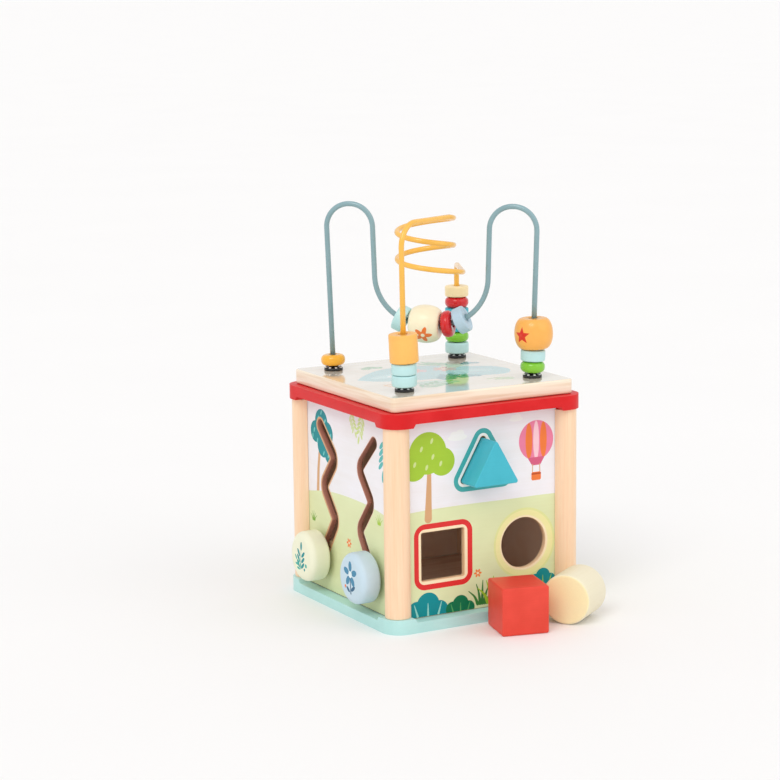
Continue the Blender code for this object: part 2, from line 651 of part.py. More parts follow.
def yellow_path():
    """Front foot, a descending coil of two turns over the middle, and back foot."""
    lean = Vector((-YELLOW_LEG_LEAN, -YELLOW_LEG_LEAN)) / math.sqrt(2)
    foot = Vector((-FOOT_OFFSET, -FOOT_OFFSET, LID_TOP))
    top = foot + Vector((lean.x, lean.y, YELLOW_TOP))
    start = tangent_angle(HELIX_CENTRE, HELIX_RADIUS, top, arriving=True)
    side = LAST_TURN_SIDE + 2 * math.pi
    shift = LAST_TURN_RADIUS - HELIX_RADIUS
    last_centre = (HELIX_CENTRE[0] - shift * math.cos(side), HELIX_CENTRE[1] - shift * math.sin(side))
    back = Vector((FOOT_OFFSET, FOOT_OFFSET, LID_TOP))
    end = tangent_angle(last_centre, LAST_TURN_RADIUS, back, arriving=False)
    end += 2 * math.pi * math.ceil((side - end) / (2 * math.pi))
    steps = math.ceil((end - start) / COIL_STEP)
    coil = []
    for i in range(steps + 1):
        angle = start + (end - start) * i / steps
        centre, radius = (HELIX_CENTRE, HELIX_RADIUS) if angle < side else (last_centre, LAST_TURN_RADIUS)
        height = LID_TOP + HELIX_TOP - HELIX_PITCH * (angle - start) / (2 * math.pi)
        x, y = centre[0] + radius * math.cos(angle), centre[1] + radius * math.sin(angle)
        coil.append(Vector((x, y, height)))
    below = foot - (top - foot).normalized() * WIRE_DEPTH_IN_LID
    leg = rounded_path([below, top, coil[0]], [YELLOW_TOP_RADIUS])
    over_back = back + Vector((0, 0, YELLOW_TAIL_HEIGHT))
    tail = rounded_path([coil[-1], over_back, back - Vector((0, 0, WIRE_DEPTH_IN_LID))], [YELLOW_TAIL_RADIUS])
    return leg[:-1] + coil + tail[1:]


def wire(name, path, collection, colour):
    curve = bpy.data.curves.new(name, "CURVE")
    curve.dimensions = "3D"
    curve.bevel_depth = WIRE_RADIUS
    curve.bevel_resolution = 2
    curve.use_fill_caps = True
    spline = curve.splines.new("POLY")
    spline.points.add(len(path) - 1)
    for point, position in zip(spline.points, path):
        point.co = (*position, 1.0)
    return place(bpy.data.objects.new(name, curve), collection, colour)


# Beads

def disc_profile(diameter, length, edge, bore, steps):
    """A straight bead: a ring section with rounded outer edges."""
    r, h = diameter / 2, length / 2
    upper = arc((r - edge, h - edge), edge, math.pi / 2, 0, steps)
    lower = arc((r - edge, edge - h), edge, 0, -math.pi / 2, steps)
    return [(bore, h), *upper, *lower, (bore, -h)]


def barrel_profile(diameter, length, face, bore):
    """A barrel bead: flat ends of a smaller radius, and a bulging side."""
    r, h = diameter / 2, length / 2
    bulge = arc((0.0, 0.0), 1.0, math.pi / 2, -math.pi / 2, BARREL_STEPS)
    side = [(face + (r - face) * u, h * v) for u, v in bulge]
    return [(bore, h), *side, (bore, -h)]


def disc(diameter, edge, steps, length=DISC_THICKNESS, bore=BEAD_BORE_RADIUS):
    return disc_profile(diameter, length, edge, bore, steps), length


def bead_shapes():
    """Profile and length of each kind of bead."""
    barrel = barrel_profile(BARREL_DIAMETER, BARREL_LENGTH, BARREL_FACE_RADIUS, LARGE_BEAD_BORE_RADIUS)
    return {
        "round_disc": disc(DISC_DIAMETER, ROUND_DISC_EDGE, 3),
        "flat_disc": disc(DISC_DIAMETER, FLAT_DISC_EDGE, 1),
        "valley_round_disc": disc(VALLEY_DISC_DIAMETER, ROUND_DISC_EDGE, 3),
        "valley_flat_disc": disc(VALLEY_DISC_DIAMETER, FLAT_DISC_EDGE, 1),
        "cylinder": disc(CYLINDER_BEAD_DIAMETER, CYLINDER_BEAD_EDGE, 1, CYLINDER_BEAD_LENGTH,
                         LARGE_BEAD_BORE_RADIUS),
        "short_cylinder": disc(DISC_DIAMETER, CYLINDER_BEAD_EDGE, 1, SHORT_CYLINDER_BEAD_LENGTH,
                               LARGE_BEAD_BORE_RADIUS),
        "barrel": (barrel, BARREL_LENGTH),
    }


# Beads on each straight leg, from the foot up, and along the valley: name, shape, colour
COLUMNS = {
    "left": (("bead_left_yellow", "round_disc", "yellow"),),
    "front": (("bead_front_mint_lower", "flat_disc", "pale_mint"),
              ("bead_front_mint_upper", "flat_disc", "pale_mint"),
              ("bead_front_orange", "cylinder", "orange")),
    "right": (("bead_right_green", "round_disc", "green"),
              ("bead_right_mint", "flat_disc", "pale_mint"),
              ("bead_right_star", "barrel", "orange")),
    "back": (("bead_back_mint", "flat_disc", "pale_mint"),
             ("bead_back_green", "round_disc", "green"),
             ("bead_back_hidden", "short_cylinder", "turquoise"),
             ("bead_back_red", "round_disc", "red"),
             ("bead_back_cream", "flat_disc", "cream")),
}
VALLEY = (("bead_valley_mint", "valley_flat_disc", "pale_mint"),
          ("bead_valley_cream", "barrel", "cream"),
          ("bead_valley_red", "valley_round_disc", "red"),
          ("bead_valley_blue", "valley_flat_disc", "pale_blue"))


def legs(blue, yellow):
    """The foot point and the upward direction of each straight leg."""
    straight = {"left": (blue[0], blue[1]), "right": (blue[-1], blue[-2]),
                "front": (yellow[0], yellow[1]), "back": (yellow[-1], yellow[-2])}
    result = {}
    for name, (low, high) in straight.items():
        direction = (high - low).normalized()
        result[name] = (low + direction * (LID_TOP - low.z) / direction.z, direction)
    return result


def along_path(path, distance):
    """The point at a distance along a path, and the direction there."""
    for start, end in zip(path, path[1:]):
        step = (end - start).length
        if distance <= step:
            return start.lerp(end, distance / step), (end - start).normalized()
        distance -= step
    return path[-1], (path[-1] - path[-2]).normalized()


def beads(parts, blue, yellow):
    shapes = bead_shapes()
    leg_lines = legs(blue, yellow)
    for leg_name, column in COLUMNS.items():
        foot, direction = leg_lines[leg_name]
        height = GAP + FOOT_HEIGHT + BEAD_GAP
        for name, shape, colour in column:
            profile, length = shapes[shape]
            bead = turned(name, profile, parts, colour, BEAD_STEPS, ring=True)
            bead.matrix_world = aligned(foot + direction * (height + length / 2), direction)
            height += length + BEAD_GAP
    distance = sum((b - a).length for a, b in zip(blue, blue[1:])) / 2 + VALLEY_BEADS_START
    face = None
    for name, shape, colour in VALLEY:
        profile, length = shapes[shape]
        centre, direction = threaded(blue, distance, length)
        while face and not ahead(centre, direction, length, face_radius(profile), face):
            distance += VALLEY_STEP
            centre, direction = threaded(blue, distance, length)
        turned(name, profile, parts, colour, BEAD_STEPS, ring=True).matrix_world = aligned(centre, direction)
        face = (centre + direction * length / 2, direction)
        distance += length


def threaded(path, distance, length):
    """Middle and direction of a bead that hangs on a bent wire from a distance along it."""
    point = along_path(path, distance + length / 2)[0]
    before, after = along_path(path, distance)[0], along_path(path, distance + length)[0]
    middle = (before + after + 2 * point) / 4
    return middle - Vector((0, 0, VALLEY_BEAD_DROP)), (after - before).normalized()


def face_radius(profile):
    """Radius at which a bead's flat end stops."""
    top = profile[0][1]
    return max(radius for radius, height in profile if abs(height - top) < GAP / 10)


def ahead(centre, direction, length, radius, face):
    """Whether a bead's near end lies wholly in front of the last bead's far face."""
    point, normal = face
    up = (Vector((0, 0, 1)) - direction * direction.z).normalized()
    rims = [centre - direction * length / 2 + up * radius * sign for sign in (-1, 1)]
    return all((rim - point).dot(normal) >= BEAD_GAP for rim in rims)


def main():
    for obj in list(bpy.data.objects):
        bpy.data.objects.remove(obj)
    parts = new_collection("wooden_activity_cube")
    cutters = new_collection("cutters")
    base_plate(parts, cutters)
    top_frame(parts, cutters)
    posts(parts, cutters)
    panels(parts)
    sliders(parts, cutters)
    shape_blocks(parts)
    lid(parts, cutters)
    blue, yellow = blue_path(), yellow_path()
    wire("blue_wire", blue, parts, "blue_grey")
    wire("yellow_wire", yellow, parts, "yellow")
    beads(parts, blue, yellow)


main()
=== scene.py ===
import json
from math import acos, atan2, ceil, copysign, cos, dist, pi, radians, sin, sqrt, tan

import bmesh
import bpy
from mathutils import Matrix, Vector
from mathutils.geometry import delaunay_2d_cdt


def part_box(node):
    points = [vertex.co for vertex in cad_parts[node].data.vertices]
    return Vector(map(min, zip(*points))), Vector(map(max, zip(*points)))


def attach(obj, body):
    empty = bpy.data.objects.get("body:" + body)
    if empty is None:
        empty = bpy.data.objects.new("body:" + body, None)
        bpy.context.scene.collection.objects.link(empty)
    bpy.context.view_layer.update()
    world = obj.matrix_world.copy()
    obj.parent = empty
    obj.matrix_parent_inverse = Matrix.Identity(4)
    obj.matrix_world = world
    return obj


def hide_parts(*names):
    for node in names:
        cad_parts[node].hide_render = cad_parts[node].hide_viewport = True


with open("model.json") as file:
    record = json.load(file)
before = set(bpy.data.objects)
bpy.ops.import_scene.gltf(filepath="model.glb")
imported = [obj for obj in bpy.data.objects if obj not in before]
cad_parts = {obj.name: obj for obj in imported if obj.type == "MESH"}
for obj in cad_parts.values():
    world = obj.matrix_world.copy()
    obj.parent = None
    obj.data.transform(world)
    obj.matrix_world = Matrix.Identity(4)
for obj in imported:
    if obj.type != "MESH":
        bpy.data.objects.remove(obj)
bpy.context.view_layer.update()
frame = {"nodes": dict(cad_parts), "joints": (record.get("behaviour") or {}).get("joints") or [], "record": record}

BODY_OF = {node: body for body, members in frame["record"]["behaviour"]["bodies"].items() for node in members}
MM = 0.001

# Sizes of the CAD model that the pieces here repeat
GAP, OVERCUT = 0.0003, 0.005
PLATE_WIDTH, PLATE_THICKNESS, RABBET_DEPTH, FRAME_UNDERSIDE = 0.200, 0.013, 0.0035, 0.181
POST_AXIS, POST_RADIUS = 0.0857, 0.0114
PANEL_THICKNESS, PANEL_HALF_WIDTH = 0.005, 0.0783
PANEL_FACE = POST_AXIS + PANEL_THICKNESS / 2
PANEL_BACK = POST_AXIS - PANEL_THICKNESS / 2
BLOCK_LENGTH, CYLINDER_RADIUS = 0.0425, 0.0225
LID_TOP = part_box("lid_board")[1].z
WIRE_RADIUS, WIRE_DEPTH, FOOT_OFFSET = 0.0024, 0.008, 0.0655
ARCH_LEAN, ARCH_TOP, LEG_LEAN, LEG_TOP = 0.005, 0.152, 0.006 / sqrt(2), 0.1455
BORE, LARGE_BORE, BORE_LIP = 0.0036, 0.0043, 0.0004
CORNERS = ((-1, -1), (1, -1), (1, 1), (-1, 1))

# More of them, in millimetres
SLOT_TURNS = ((47, 42), (22, 78), (45.5, 106), (22, 134), (50, 161))
SLOT_HALF_WIDTH, SLOT_TURN_RADIUS = 5.5, 8
TRIANGLE_SIDE, TRIANGLE_RADIUS, TRIANGLE_PLACE = 47, 2, (0, 138.5)


def rgb(r, g, b):
    """Linear colour of screen values from 0 to 255."""
    return tuple((v / 255 / 12.92) if v < 10.3 else ((v / 255 + 0.055) / 1.055) ** 2.4 for v in (r, g, b))


# Outlines

def arc(centre, radius, start, end, steps):
    angles = [start + (end - start) * i / steps for i in range(steps + 1)]
    return [(centre[0] + radius * cos(a), centre[1] + radius * sin(a)) for a in angles]


def quarter_arc(centre, radius, steps):
    """A quarter of a circle, from its top round to its side."""
    return arc(centre, radius, pi / 2, 0, steps)


def mirrored(upper, total=0):
    """A profile and its mirror image; the heights of two mirrored points add up to the total."""
    return upper + [(out, total - z) for out, z in upper[::-1]]


def rounded_path(points, radii, step=radians(6)):
    """A path through points, with an arc at each inner point."""
    points = [Vector(p) for p in points]
    path = [points[0]]
    for before, corner, after, radius in zip(points, points[1:], points[2:], radii):
        way_in = (corner - before).normalized()
        way_out = (after - corner).normalized()
        turn = way_in.angle(way_out)
        inward = (way_out - way_in * way_in.dot(way_out)).normalized()
        centre = corner - way_in * radius * tan(turn / 2) + inward * radius
        steps = max(1, ceil(turn / step))
        for i in range(steps + 1):
            angle = turn * i / steps
            path.append(centre - inward * radius * cos(angle) + way_in * radius * sin(angle))
    path.append(points[-1])
    return path


def rounded_outline(corners, radius):
    middle = (Vector(corners[-1]) + Vector(corners[0])) / 2
    path = rounded_path([middle, *corners, middle], [radius] * len(corners))
    return [(p.x, p.y) for p in path[:-1]]


def rectangle(width, height, radius, centre=(0, 0)):
    x, y = centre
    w, h = width / 2, height / 2
    return rounded_outline([(x - w, y - h), (x + w, y - h), (x + w, y + h), (x - w, y + h)], radius)


def circle(x, y, radius, steps=60):
    return arc((x, y), radius, 0, 2 * pi, steps)[:-1]


def ellipse(x, y, rx, ry, turn=0, steps=28):
    c, s = cos(radians(turn)), sin(radians(turn))
    return [(x + u * rx * c - v * ry * s, y + u * rx * s + v * ry * c) for u, v in circle(0, 0, 1, steps)]


def rounded_triangle(margin, centre=TRIANGLE_PLACE):
    """The triangle block's outline with a margin all round."""
    corners = arc(centre, TRIANGLE_SIDE / sqrt(3) + 2 * margin, radians(-150), radians(90), 2)
    return rounded_outline(corners, TRIANGLE_RADIUS + margin)


def tangents(path):
    """The ways along a path at its points."""
    return [(after - before).normalized() for before, after in zip(path[:1] + path, path[1:] + path[-1:])]


def widened(path, half_width, end_steps=10):
    """The closed outline of a flat path with round ends; half_width is one number, or one for each end."""
    first, last = half_width if isinstance(half_width, tuple) else (half_width, half_width)
    path = [Vector(p) for p in path]
    left, right = [], []
    for i, (point, along) in enumerate(zip(path, tangents(path))):
        side = Vector((-along.y, along.x)) * (first + (last - first) * i / (len(path) - 1))
        right.append(tuple(point - side))
        left.append(tuple(point + side))
    ends = []
    for point, edge, width in ((path[-1], right[-1], last), (path[0], left[0], first)):
        turn = atan2(edge[1] - point.y, edge[0] - point.x)
        ends.append(arc(point, width, turn, turn + pi, end_steps)[1:-1])
    return right + ends[0] + left[::-1] + ends[1]


def curve_through(points, steps=6):
    """A smooth flat line through points."""
    points = [Vector(p) for p in points]
    padded = [2 * points[0] - points[1], *points, 2 * points[-1] - points[-2]]
    line = []
    for a, b, c, d in zip(padded, padded[1:], padded[2:], padded[3:]):
        for i in range(steps):
            t = i / steps
            line.append(0.5 * (2 * b + (c - a) * t + (2 * a - 5 * b + 4 * c - d) * t ** 2
                               + (3 * b - a - 3 * c + d) * t ** 3))
    return [tuple(p) for p in (*line, points[-1])]


def area(outline):
    return sum(a[0] * b[1] - b[0] * a[1] for a, b in zip(outline, outline[1:] + outline[:1])) / 2


def tidy(outline):
    """The outline anticlockwise and without repeated points."""
    points = [p for p, after in zip(outline, outline[1:] + outline[:1]) if dist(p, after) > 1e-7]
    return points if area(points) > 0 else points[::-1]


def metres(outline):
    return [(x * MM, y * MM) for x, y in outline]


def ways_out(points):
    """The ways out of a closed outline's corners, long enough to move its sides out by one."""
    sides = [(after - point).normalized() for point, after in zip(points, points[1:] + points[:1])]
    ways = []
    for before, after in zip(sides[-1:] + sides, sides):
        normal = Vector((before.y + after.y, -before.x - after.x)).normalized()
        ways.append(normal / max(0.3, normal.dot(Vector((before.y, -before.x)))))
    return ways


def grown(outline, distance):
    """An outline moved outwards by a distance."""
    points = [Vector(p) for p in tidy(outline)]
    return [tuple(point + way * distance) for point, way in zip(points, ways_out(points))]


# Meshes

def new_object(name, data):
    made = bpy.data.objects.new(name, data)
    bpy.context.scene.collection.objects.link(made)
    return made


def finish(mesh_data, name, smooth=radians(35), crisp=()):
    """Makes the object of a bmesh: smooth, with sharp edges where it turns quickly and where crisp says."""
    for face in mesh_data.faces:
        face.smooth = True
    crisp = set(crisp)
    for edge in mesh_data.edges:
        if len(edge.link_faces) == 2 and (edge.calc_face_angle(0) > smooth or edge in crisp):
            edge.smooth = False
    mesh = bpy.data.meshes.new(name)
    mesh_data.to_mesh(mesh)
    mesh_data.free()
    return new_object(name, mesh)


PLAIN = (1, 1, 1, 1)


def triangulated(loops, accuracy):
    """Corners of the areas in outlines, the outlines' points at them, and each triangle with its outlines."""
    faces, first = [], 0
    for loop in loops:
        ids = list(range(first, first + len(loop)))
        faces.append(ids if area(loop) > 0 else ids[::-1])
        first += len(loop)
    points = [Vector(p) for loop in loops for p in loop]
    corners, _, triangles, origins, _, inside = delaunay_2d_cdt(points, [], faces, 0, accuracy)
    return corners, origins, zip(triangles, inside)


def prism(name, outline, profile, holes=(), art=(), face_paint=PLAIN, side_paint=PLAIN, back_paint=PLAIN):
    """A flat piece with painted shapes on its front.

    profile gives (outset, height) from the front face down to the back; art is a list of (outline in
    millimetres, colour) in painting order. A paint is a colour and its gloss mask.
    """
    loops = [tidy(outline), *(tidy(hole) for hole in holes)]
    corners, _, triangles = triangulated(loops + [tidy(metres(shape)) for shape, _ in art], 1e-8)
    data = bmesh.new()
    paint = data.loops.layers.float_color.new("paint")
    top = [data.verts.new((p.x, p.y, profile[0][1])) for p in corners]

    def add(corners, colour):
        for loop in data.faces.new(corners).loops:
            loop[paint] = colour

    hole_ids = set(range(1, len(loops)))
    for triangle, owners in triangles:
        owners = set(owners)
        if 0 in owners and not owners & hole_ids:
            last = max(owners)
            add([top[i] for i in triangle], (*art[last - len(loops)][1], 1.0) if last else face_paint)
    for vert in [v for v in data.verts if not v.link_faces]:
        data.verts.remove(vert)

    crisp = [e for e in data.edges if len(e.link_faces) == 1]
    following = {e.link_loops[0].vert: e.link_loops[0].link_loop_next.vert for e in crisp}
    last_rims = []
    while following:
        start = next(iter(following))
        rim, vert = [start], following.pop(start)
        while vert is not start:
            rim.append(vert)
            vert = following.pop(vert)
        count = len(rim)
        ways = ways_out([v.co.xy for v in rim])
        above = rim
        for outset, height in profile[1:]:
            below = [data.verts.new((*(v.co.xy + way * outset), height)) for v, way in zip(rim, ways)]
            for i in range(count):
                add((above[i], above[i - 1], below[i - 1], below[i]), side_paint)
            above = below
        last_rims.append(above)
        crisp.extend(data.edges.get((above[i - 1], above[i])) for i in range(count))
    last_rims.sort(key=lambda rim: -abs(area([v.co.xy for v in rim])))
    verts = [v for rim in last_rims for v in rim]
    _, origins, triangles = triangulated([[v.co.xy for v in rim] for rim in last_rims], 1e-9)
    for triangle, owners in triangles:
        if list(owners) == [0]:
            add([verts[origins[i][0]] for i in reversed(triangle)], back_paint)
    return finish(data, name, crisp=crisp)


def edge_profile(top, bottom, radius, steps=4):
    """Outsets and heights of a side with rounded edges, from a front outline that lies radius further in."""
    return mirrored(quarter_arc((0, top - radius), radius, steps), top + bottom)


def lathe(name, profile, steps, ring=False):
    """A turned piece about its own Z. The profile runs down the outer side; a ring's closes at its bore."""
    data = bmesh.new()
    rows = []
    for radius, height in profile:
        if radius < 1e-7:
            rows.append([data.verts.new((0, 0, height))] * steps)
        else:
            rows.append([data.verts.new((x, y, height)) for x, y in circle(0, 0, radius, steps)])
    if ring:
        rows.append(rows[0])
    for above, below in zip(rows, rows[1:]):
        for i in range(steps):
            j = (i + 1) % steps
            data.faces.new(list(dict.fromkeys((above[i], below[i], below[j], above[j]))))
    return finish(data, name)


def tube(name, path, radius):
    """A round wire along a path, with flat ends."""
    sides = 20
    data = bmesh.new()
    side = (path[1] - path[0]).normalized().orthogonal().normalized()
    rows = []
    for point, tangent in zip(path, tangents(path)):
        side = (side - tangent * side.dot(tangent)).normalized()
        other = tangent.cross(side)
        rows.append([data.verts.new(point + side * x + other * y) for x, y in circle(0, 0, radius, sides)])
    for a, b in zip(rows, rows[1:]):
        for i in range(sides):
            j = (i + 1) % sides
            data.faces.new((a[i], a[j], b[j], b[i]))
    data.faces.new(rows[0][::-1])
    data.faces.new(rows[-1])
    return finish(data, name)


def boxes(spans):
    """A cutter of several boxes, each given by two corners.

    A third item of 1 or -1 flares a box at its upper or lower end.
    """
    flare = 0.0045
    data = bmesh.new()
    for low, high, *end in spans:
        low, high = Vector(low), Vector(high)
        middle = (low + high) / 2
        axis = 0 if high.x - low.x > high.y - low.y else 1
        place = moved(*middle) @ Matrix.Diagonal((*(high - low), 1))
        for vert in bmesh.ops.create_cube(data, size=1, matrix=place)["verts"]:
            if end and (vert.co.z - middle.z) * end[0] > 0:
                vert.co[axis] += copysign(flare, vert.co[axis] - middle[axis])
    return finish(data, "cutter")


def carved(piece, cutter, bevel=0.0):
    """The piece without the cutter's boxes, and with its sharp edges rounded."""
    cut = piece.modifiers.new("cut", "BOOLEAN")
    cut.operation, cut.solver, cut.object = "DIFFERENCE", "EXACT", cutter
    cut.use_self = True
    if bevel:
        soft = piece.modifiers.new("soft_edges", "BEVEL")
        soft.width, soft.segments, soft.limit_method = bevel, 3, "ANGLE"
        soft.angle_limit = radians(40)
    bpy.context.view_layer.update()
    result = bpy.data.meshes.new_from_object(piece.evaluated_get(bpy.context.evaluated_depsgraph_get()))
    piece.modifiers.clear()
    piece.data = result
    bpy.data.objects.remove(cutter)
    result.shade_smooth()
    result.set_sharp_from_angle(angle=radians(32))
    return piece


def dress(piece, material):
    piece.data.materials.clear()
    piece.data.materials.append(material)


def settle(piece, body, slot, material, matrix=None):
    """Keeps the piece's own coordinates for its material, and puts it in its place on its body."""
    own = piece.data.attributes.new("own", "FLOAT_VECTOR", "POINT")
    own.data.foreach_set("vector", [c for vert in piece.data.vertices for c in vert.co])
    if matrix is not None:
        piece.data.transform(matrix)
    dress(piece, material)
    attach(piece, body)


def stand_for(piece, node, slot, material, matrix=None):
    """The piece takes the place of a CAD node, on the node's body."""
    settle(piece, BODY_OF[node], slot, material, matrix)
    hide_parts(node)


def moved(x, y, z):
    return Matrix.Translation((x, y, z))


def turned(degrees, axis):
    return Matrix.Rotation(radians(degrees), 4, axis)


def aligned(location, direction):
    """The place of a piece whose own Z points in a direction."""
    return Matrix.Translation(location) @ Vector(direction).to_track_quat("Z", "Y").to_matrix().to_4x4()


# Materials

class Look:
    """A node material under construction, in the piece's own coordinates, or else in the object's."""

    def __init__(self, name, roughness, coat=0.0, coat_roughness=0.1, metallic=0.0, specular=0.5, own=True):
        self.material = bpy.data.materials.new(name)
        self.material.use_nodes = True
        self.tree = self.material.node_tree
        self.shader = self.tree.nodes["Principled BSDF"]
        for key, value in (("Roughness", roughness), ("Coat Weight", coat),
                           ("Coat Roughness", coat_roughness),
                           ("Metallic", metallic), ("Specular IOR Level", specular)):
            self.shader.inputs[key].default_value = value
        self.coordinates = (self.attribute("own").outputs["Vector"] if own
                            else self.add("TexCoord").outputs["Object"])

    def attribute(self, name):
        return self.add("Attribute", attribute_name=name, attribute_type="GEOMETRY")

    def add(self, kind, inputs=None, **settings):
        made = self.tree.nodes.new("ShaderNode" + kind)
        for key, value in settings.items():
            setattr(made, key, value)
        for key, value in (inputs or {}).items():
            if isinstance(value, bpy.types.NodeSocket):
                self.tree.links.new(value, made.inputs[key])
            else:
                made.inputs[key].default_value = value
        return made

    def math(self, operation, a, b=0.0, c=0.0):
        return self.add("Math", {0: a, 1: b, 2: c}, operation=operation).outputs[0]

    def times(self, a, b):
        return self.math("MULTIPLY", a, b)

    def noise(self, scale, detail=3.0, stretch=(1, 1, 1), roughness=0.5, distortion=0.0):
        place = self.add("Mapping", {"Vector": self.coordinates, "Scale": stretch})
        made = self.add("TexNoise", {"Vector": place.outputs[0], "Scale": scale, "Detail": detail,
                                     "Roughness": roughness, "Distortion": distortion})
        return made.outputs["Fac"]

    def ramp(self, value, low=0.3, high=0.7, to_low=0.0, to_high=1.0):
        return self.add("MapRange", {"Value": value, "From Min": low, "From Max": high,
                                     "To Min": to_low, "To Max": to_high}).outputs[0]

    def mix(self, factor, a, b, blend="MIX"):
        a, b = (v if isinstance(v, bpy.types.NodeSocket) else (*v[:3], 1.0) for v in (a, b))
        return self.add("Mix", {0: factor, 6: a, 7: b}, data_type="RGBA", blend_type=blend).outputs[2]

    def axis(self, letter):
        return self.add("SeparateXYZ", {0: self.coordinates}).outputs[letter]

    def dot(self, a, b):
        return self.add("VectorMath", {0: a, 1: b}, operation="DOT_PRODUCT").outputs["Value"]

    def worn(self, amount):
        """A broken mask, up to the amount, on the edges where the paint is thin."""
        rounded = self.add("Bevel", {"Radius": 0.0008}, samples=4).outputs[0]
        straight = self.add("NewGeometry").outputs["Normal"]
        edges = self.ramp(self.dot(rounded, straight), 0.995, 0.9)
        return self.times(edges, self.ramp(self.noise(260), 0.35, 0.7, 0, amount))

    def bump(self, height, strength):
        made = self.add("Bump", {"Height": height, "Strength": strength, "Distance": 0.0002})
        self.tree.links.new(made.outputs[0], self.shader.inputs["Normal"])
        if self.shader.inputs["Coat Weight"].default_value:
            self.tree.links.new(made.outputs[0], self.shader.inputs["Coat Normal"])

    def paint_bump(self, grains):
        """Brushed paint over grain."""
        self.bump(self.math("MULTIPLY_ADD", grains, 0.7, self.times(self.noise(220), 0.6)), 0.12)

    def done(self, colour, roughness=None):
        self.tree.links.new(colour, self.shader.inputs["Base Color"])
        if roughness is not None:
            self.tree.links.new(roughness, self.shader.inputs["Roughness"])
        return self.material


ALONG = {"x": (0.04, 1, 1), "y": (1, 0.04, 1), "z": (1, 1, 0.04)}    # stretches noise along the grain


def darker(colour, factor):
    return [c * factor for c in colour]


def lighter(colour, factor, lift=0.0):
    return [min(1, c * factor + lift) for c in colour]


def painted(name, colour, roughness, coat=0.0, wear=0.0, mottle=0.05, specular=0.5):
    """Paint over wood: faint grain under it, small changes of colour and gloss, and thin paint on edges."""
    look = Look(name, roughness, coat, 0.12, specular=specular)
    grains = look.noise(900, 2, ALONG["x"])
    clouds = look.noise(45, 3)
    base = look.mix(look.ramp(clouds), darker(colour, 1 - mottle), lighter(colour, 1 + mottle, 0.01))
    base = look.mix(look.ramp(grains, 0.35, 0.75, 0, 0.10), base, darker(colour, 0.7))
    if wear:
        base = look.mix(look.worn(wear), base, lighter(colour, 0.6, 0.36))
    look.paint_bump(grains)
    return look.done(base, look.ramp(clouds, 0.3, 0.7, roughness - 0.04, roughness + 0.06))


def wood(name, light, dark, grain, roughness, own=True):
    """Wood with growth bands, fine streaks and pores."""
    look = Look(name, roughness, own=own)
    bands = look.noise(110, 4, ALONG[grain], 0.6, 0.6)
    streaks = look.noise(700, 3, ALONG[grain])
    pores = look.noise(1600, 2, ALONG[grain])
    tone = look.math("MULTIPLY_ADD", streaks, 0.45, look.times(bands, 0.55))
    base = look.mix(look.ramp(tone, 0.36, 0.66), light, dark)
    base = look.mix(look.ramp(pores, 0.62, 0.75, 0, 0.25), base, darker(dark, 0.72))
    look.bump(look.math("MULTIPLY_ADD", streaks, 0.6, look.times(pores, -0.5)), 0.18)
    return look.done(base, look.ramp(bands, 0.3, 0.7, roughness - 0.05, roughness + 0.08))


def printed(name, grain_strength, roughness, coat=0.0):
    """A printed board: the paint attribute's colours over faint wood grain; its bare sides are matt."""
    look = Look(name, roughness, coat, 0.03, specular=0.25)
    if coat:
        look.shader.inputs["Coat IOR"].default_value = 1.65
    paint = look.attribute("paint")
    colour, mask = paint.outputs["Color"], paint.outputs["Alpha"]
    grains = look.noise(650, 3, ALONG["x"])
    broad = look.noise(70, 4, ALONG["x"], 0.6, 0.8)
    tone = look.math("MULTIPLY_ADD", broad, 0.6, look.times(grains, 0.4))
    shade = look.ramp(tone, 0.38, 0.64, 0, grain_strength)
    ink = look.mix(shade, colour, rgb(222, 192, 158), "MULTIPLY")
    washes = look.mix(look.ramp(look.noise(28, 2), 0.35, 0.65, 0, 0.5), ink, rgb(246, 246, 240), "MULTIPLY")
    streaks = look.noise(240, 3, (0.06, 0.06, 1.4))
    side = look.mix(look.ramp(streaks, 0.42, 0.66, 0, 0.55), colour, rgb(228, 200, 168), "MULTIPLY")
    look.bump(look.math("MULTIPLY_ADD", grains, 0.5, look.noise(300)), 0.05)
    gloss = look.ramp(mask, 0, 1, min(0.6, roughness + 0.2), roughness)
    return look.done(look.mix(mask, side, washes), gloss)


def base_paint():
    """Mint paint outside, and bare board inside the panels."""
    look = Look("mint_paint", 0.42)
    grains, clouds = look.noise(900, 2, ALONG["x"]), look.noise(45, 3)
    mint = look.mix(look.ramp(clouds), rgb(177, 221, 217), rgb(187, 228, 224))
    mint = look.mix(look.ramp(grains, 0.4, 0.75, 0, 0.12), mint, rgb(154, 205, 200))
    mint = look.mix(look.worn(0.4), mint, rgb(214, 238, 233))
    planks = look.noise(160, 4, ALONG["x"], 0.6, 0.8)
    board = look.mix(look.ramp(planks, 0.35, 0.65), rgb(246, 218, 194), rgb(228, 194, 168))
    x, y = look.math("ABSOLUTE", look.axis("X")), look.math("ABSOLUTE", look.axis("Y"))
    inside = look.times(look.math("LESS_THAN", look.math("MAXIMUM", x, y), PANEL_BACK - 0.0008),
                        look.math("GREATER_THAN", look.axis("Z"), PLATE_THICKNESS - 0.0005))
    look.paint_bump(grains)
    return look.done(look.mix(inside, mint, board), look.ramp(inside, 0, 1, 0.42, 0.75))


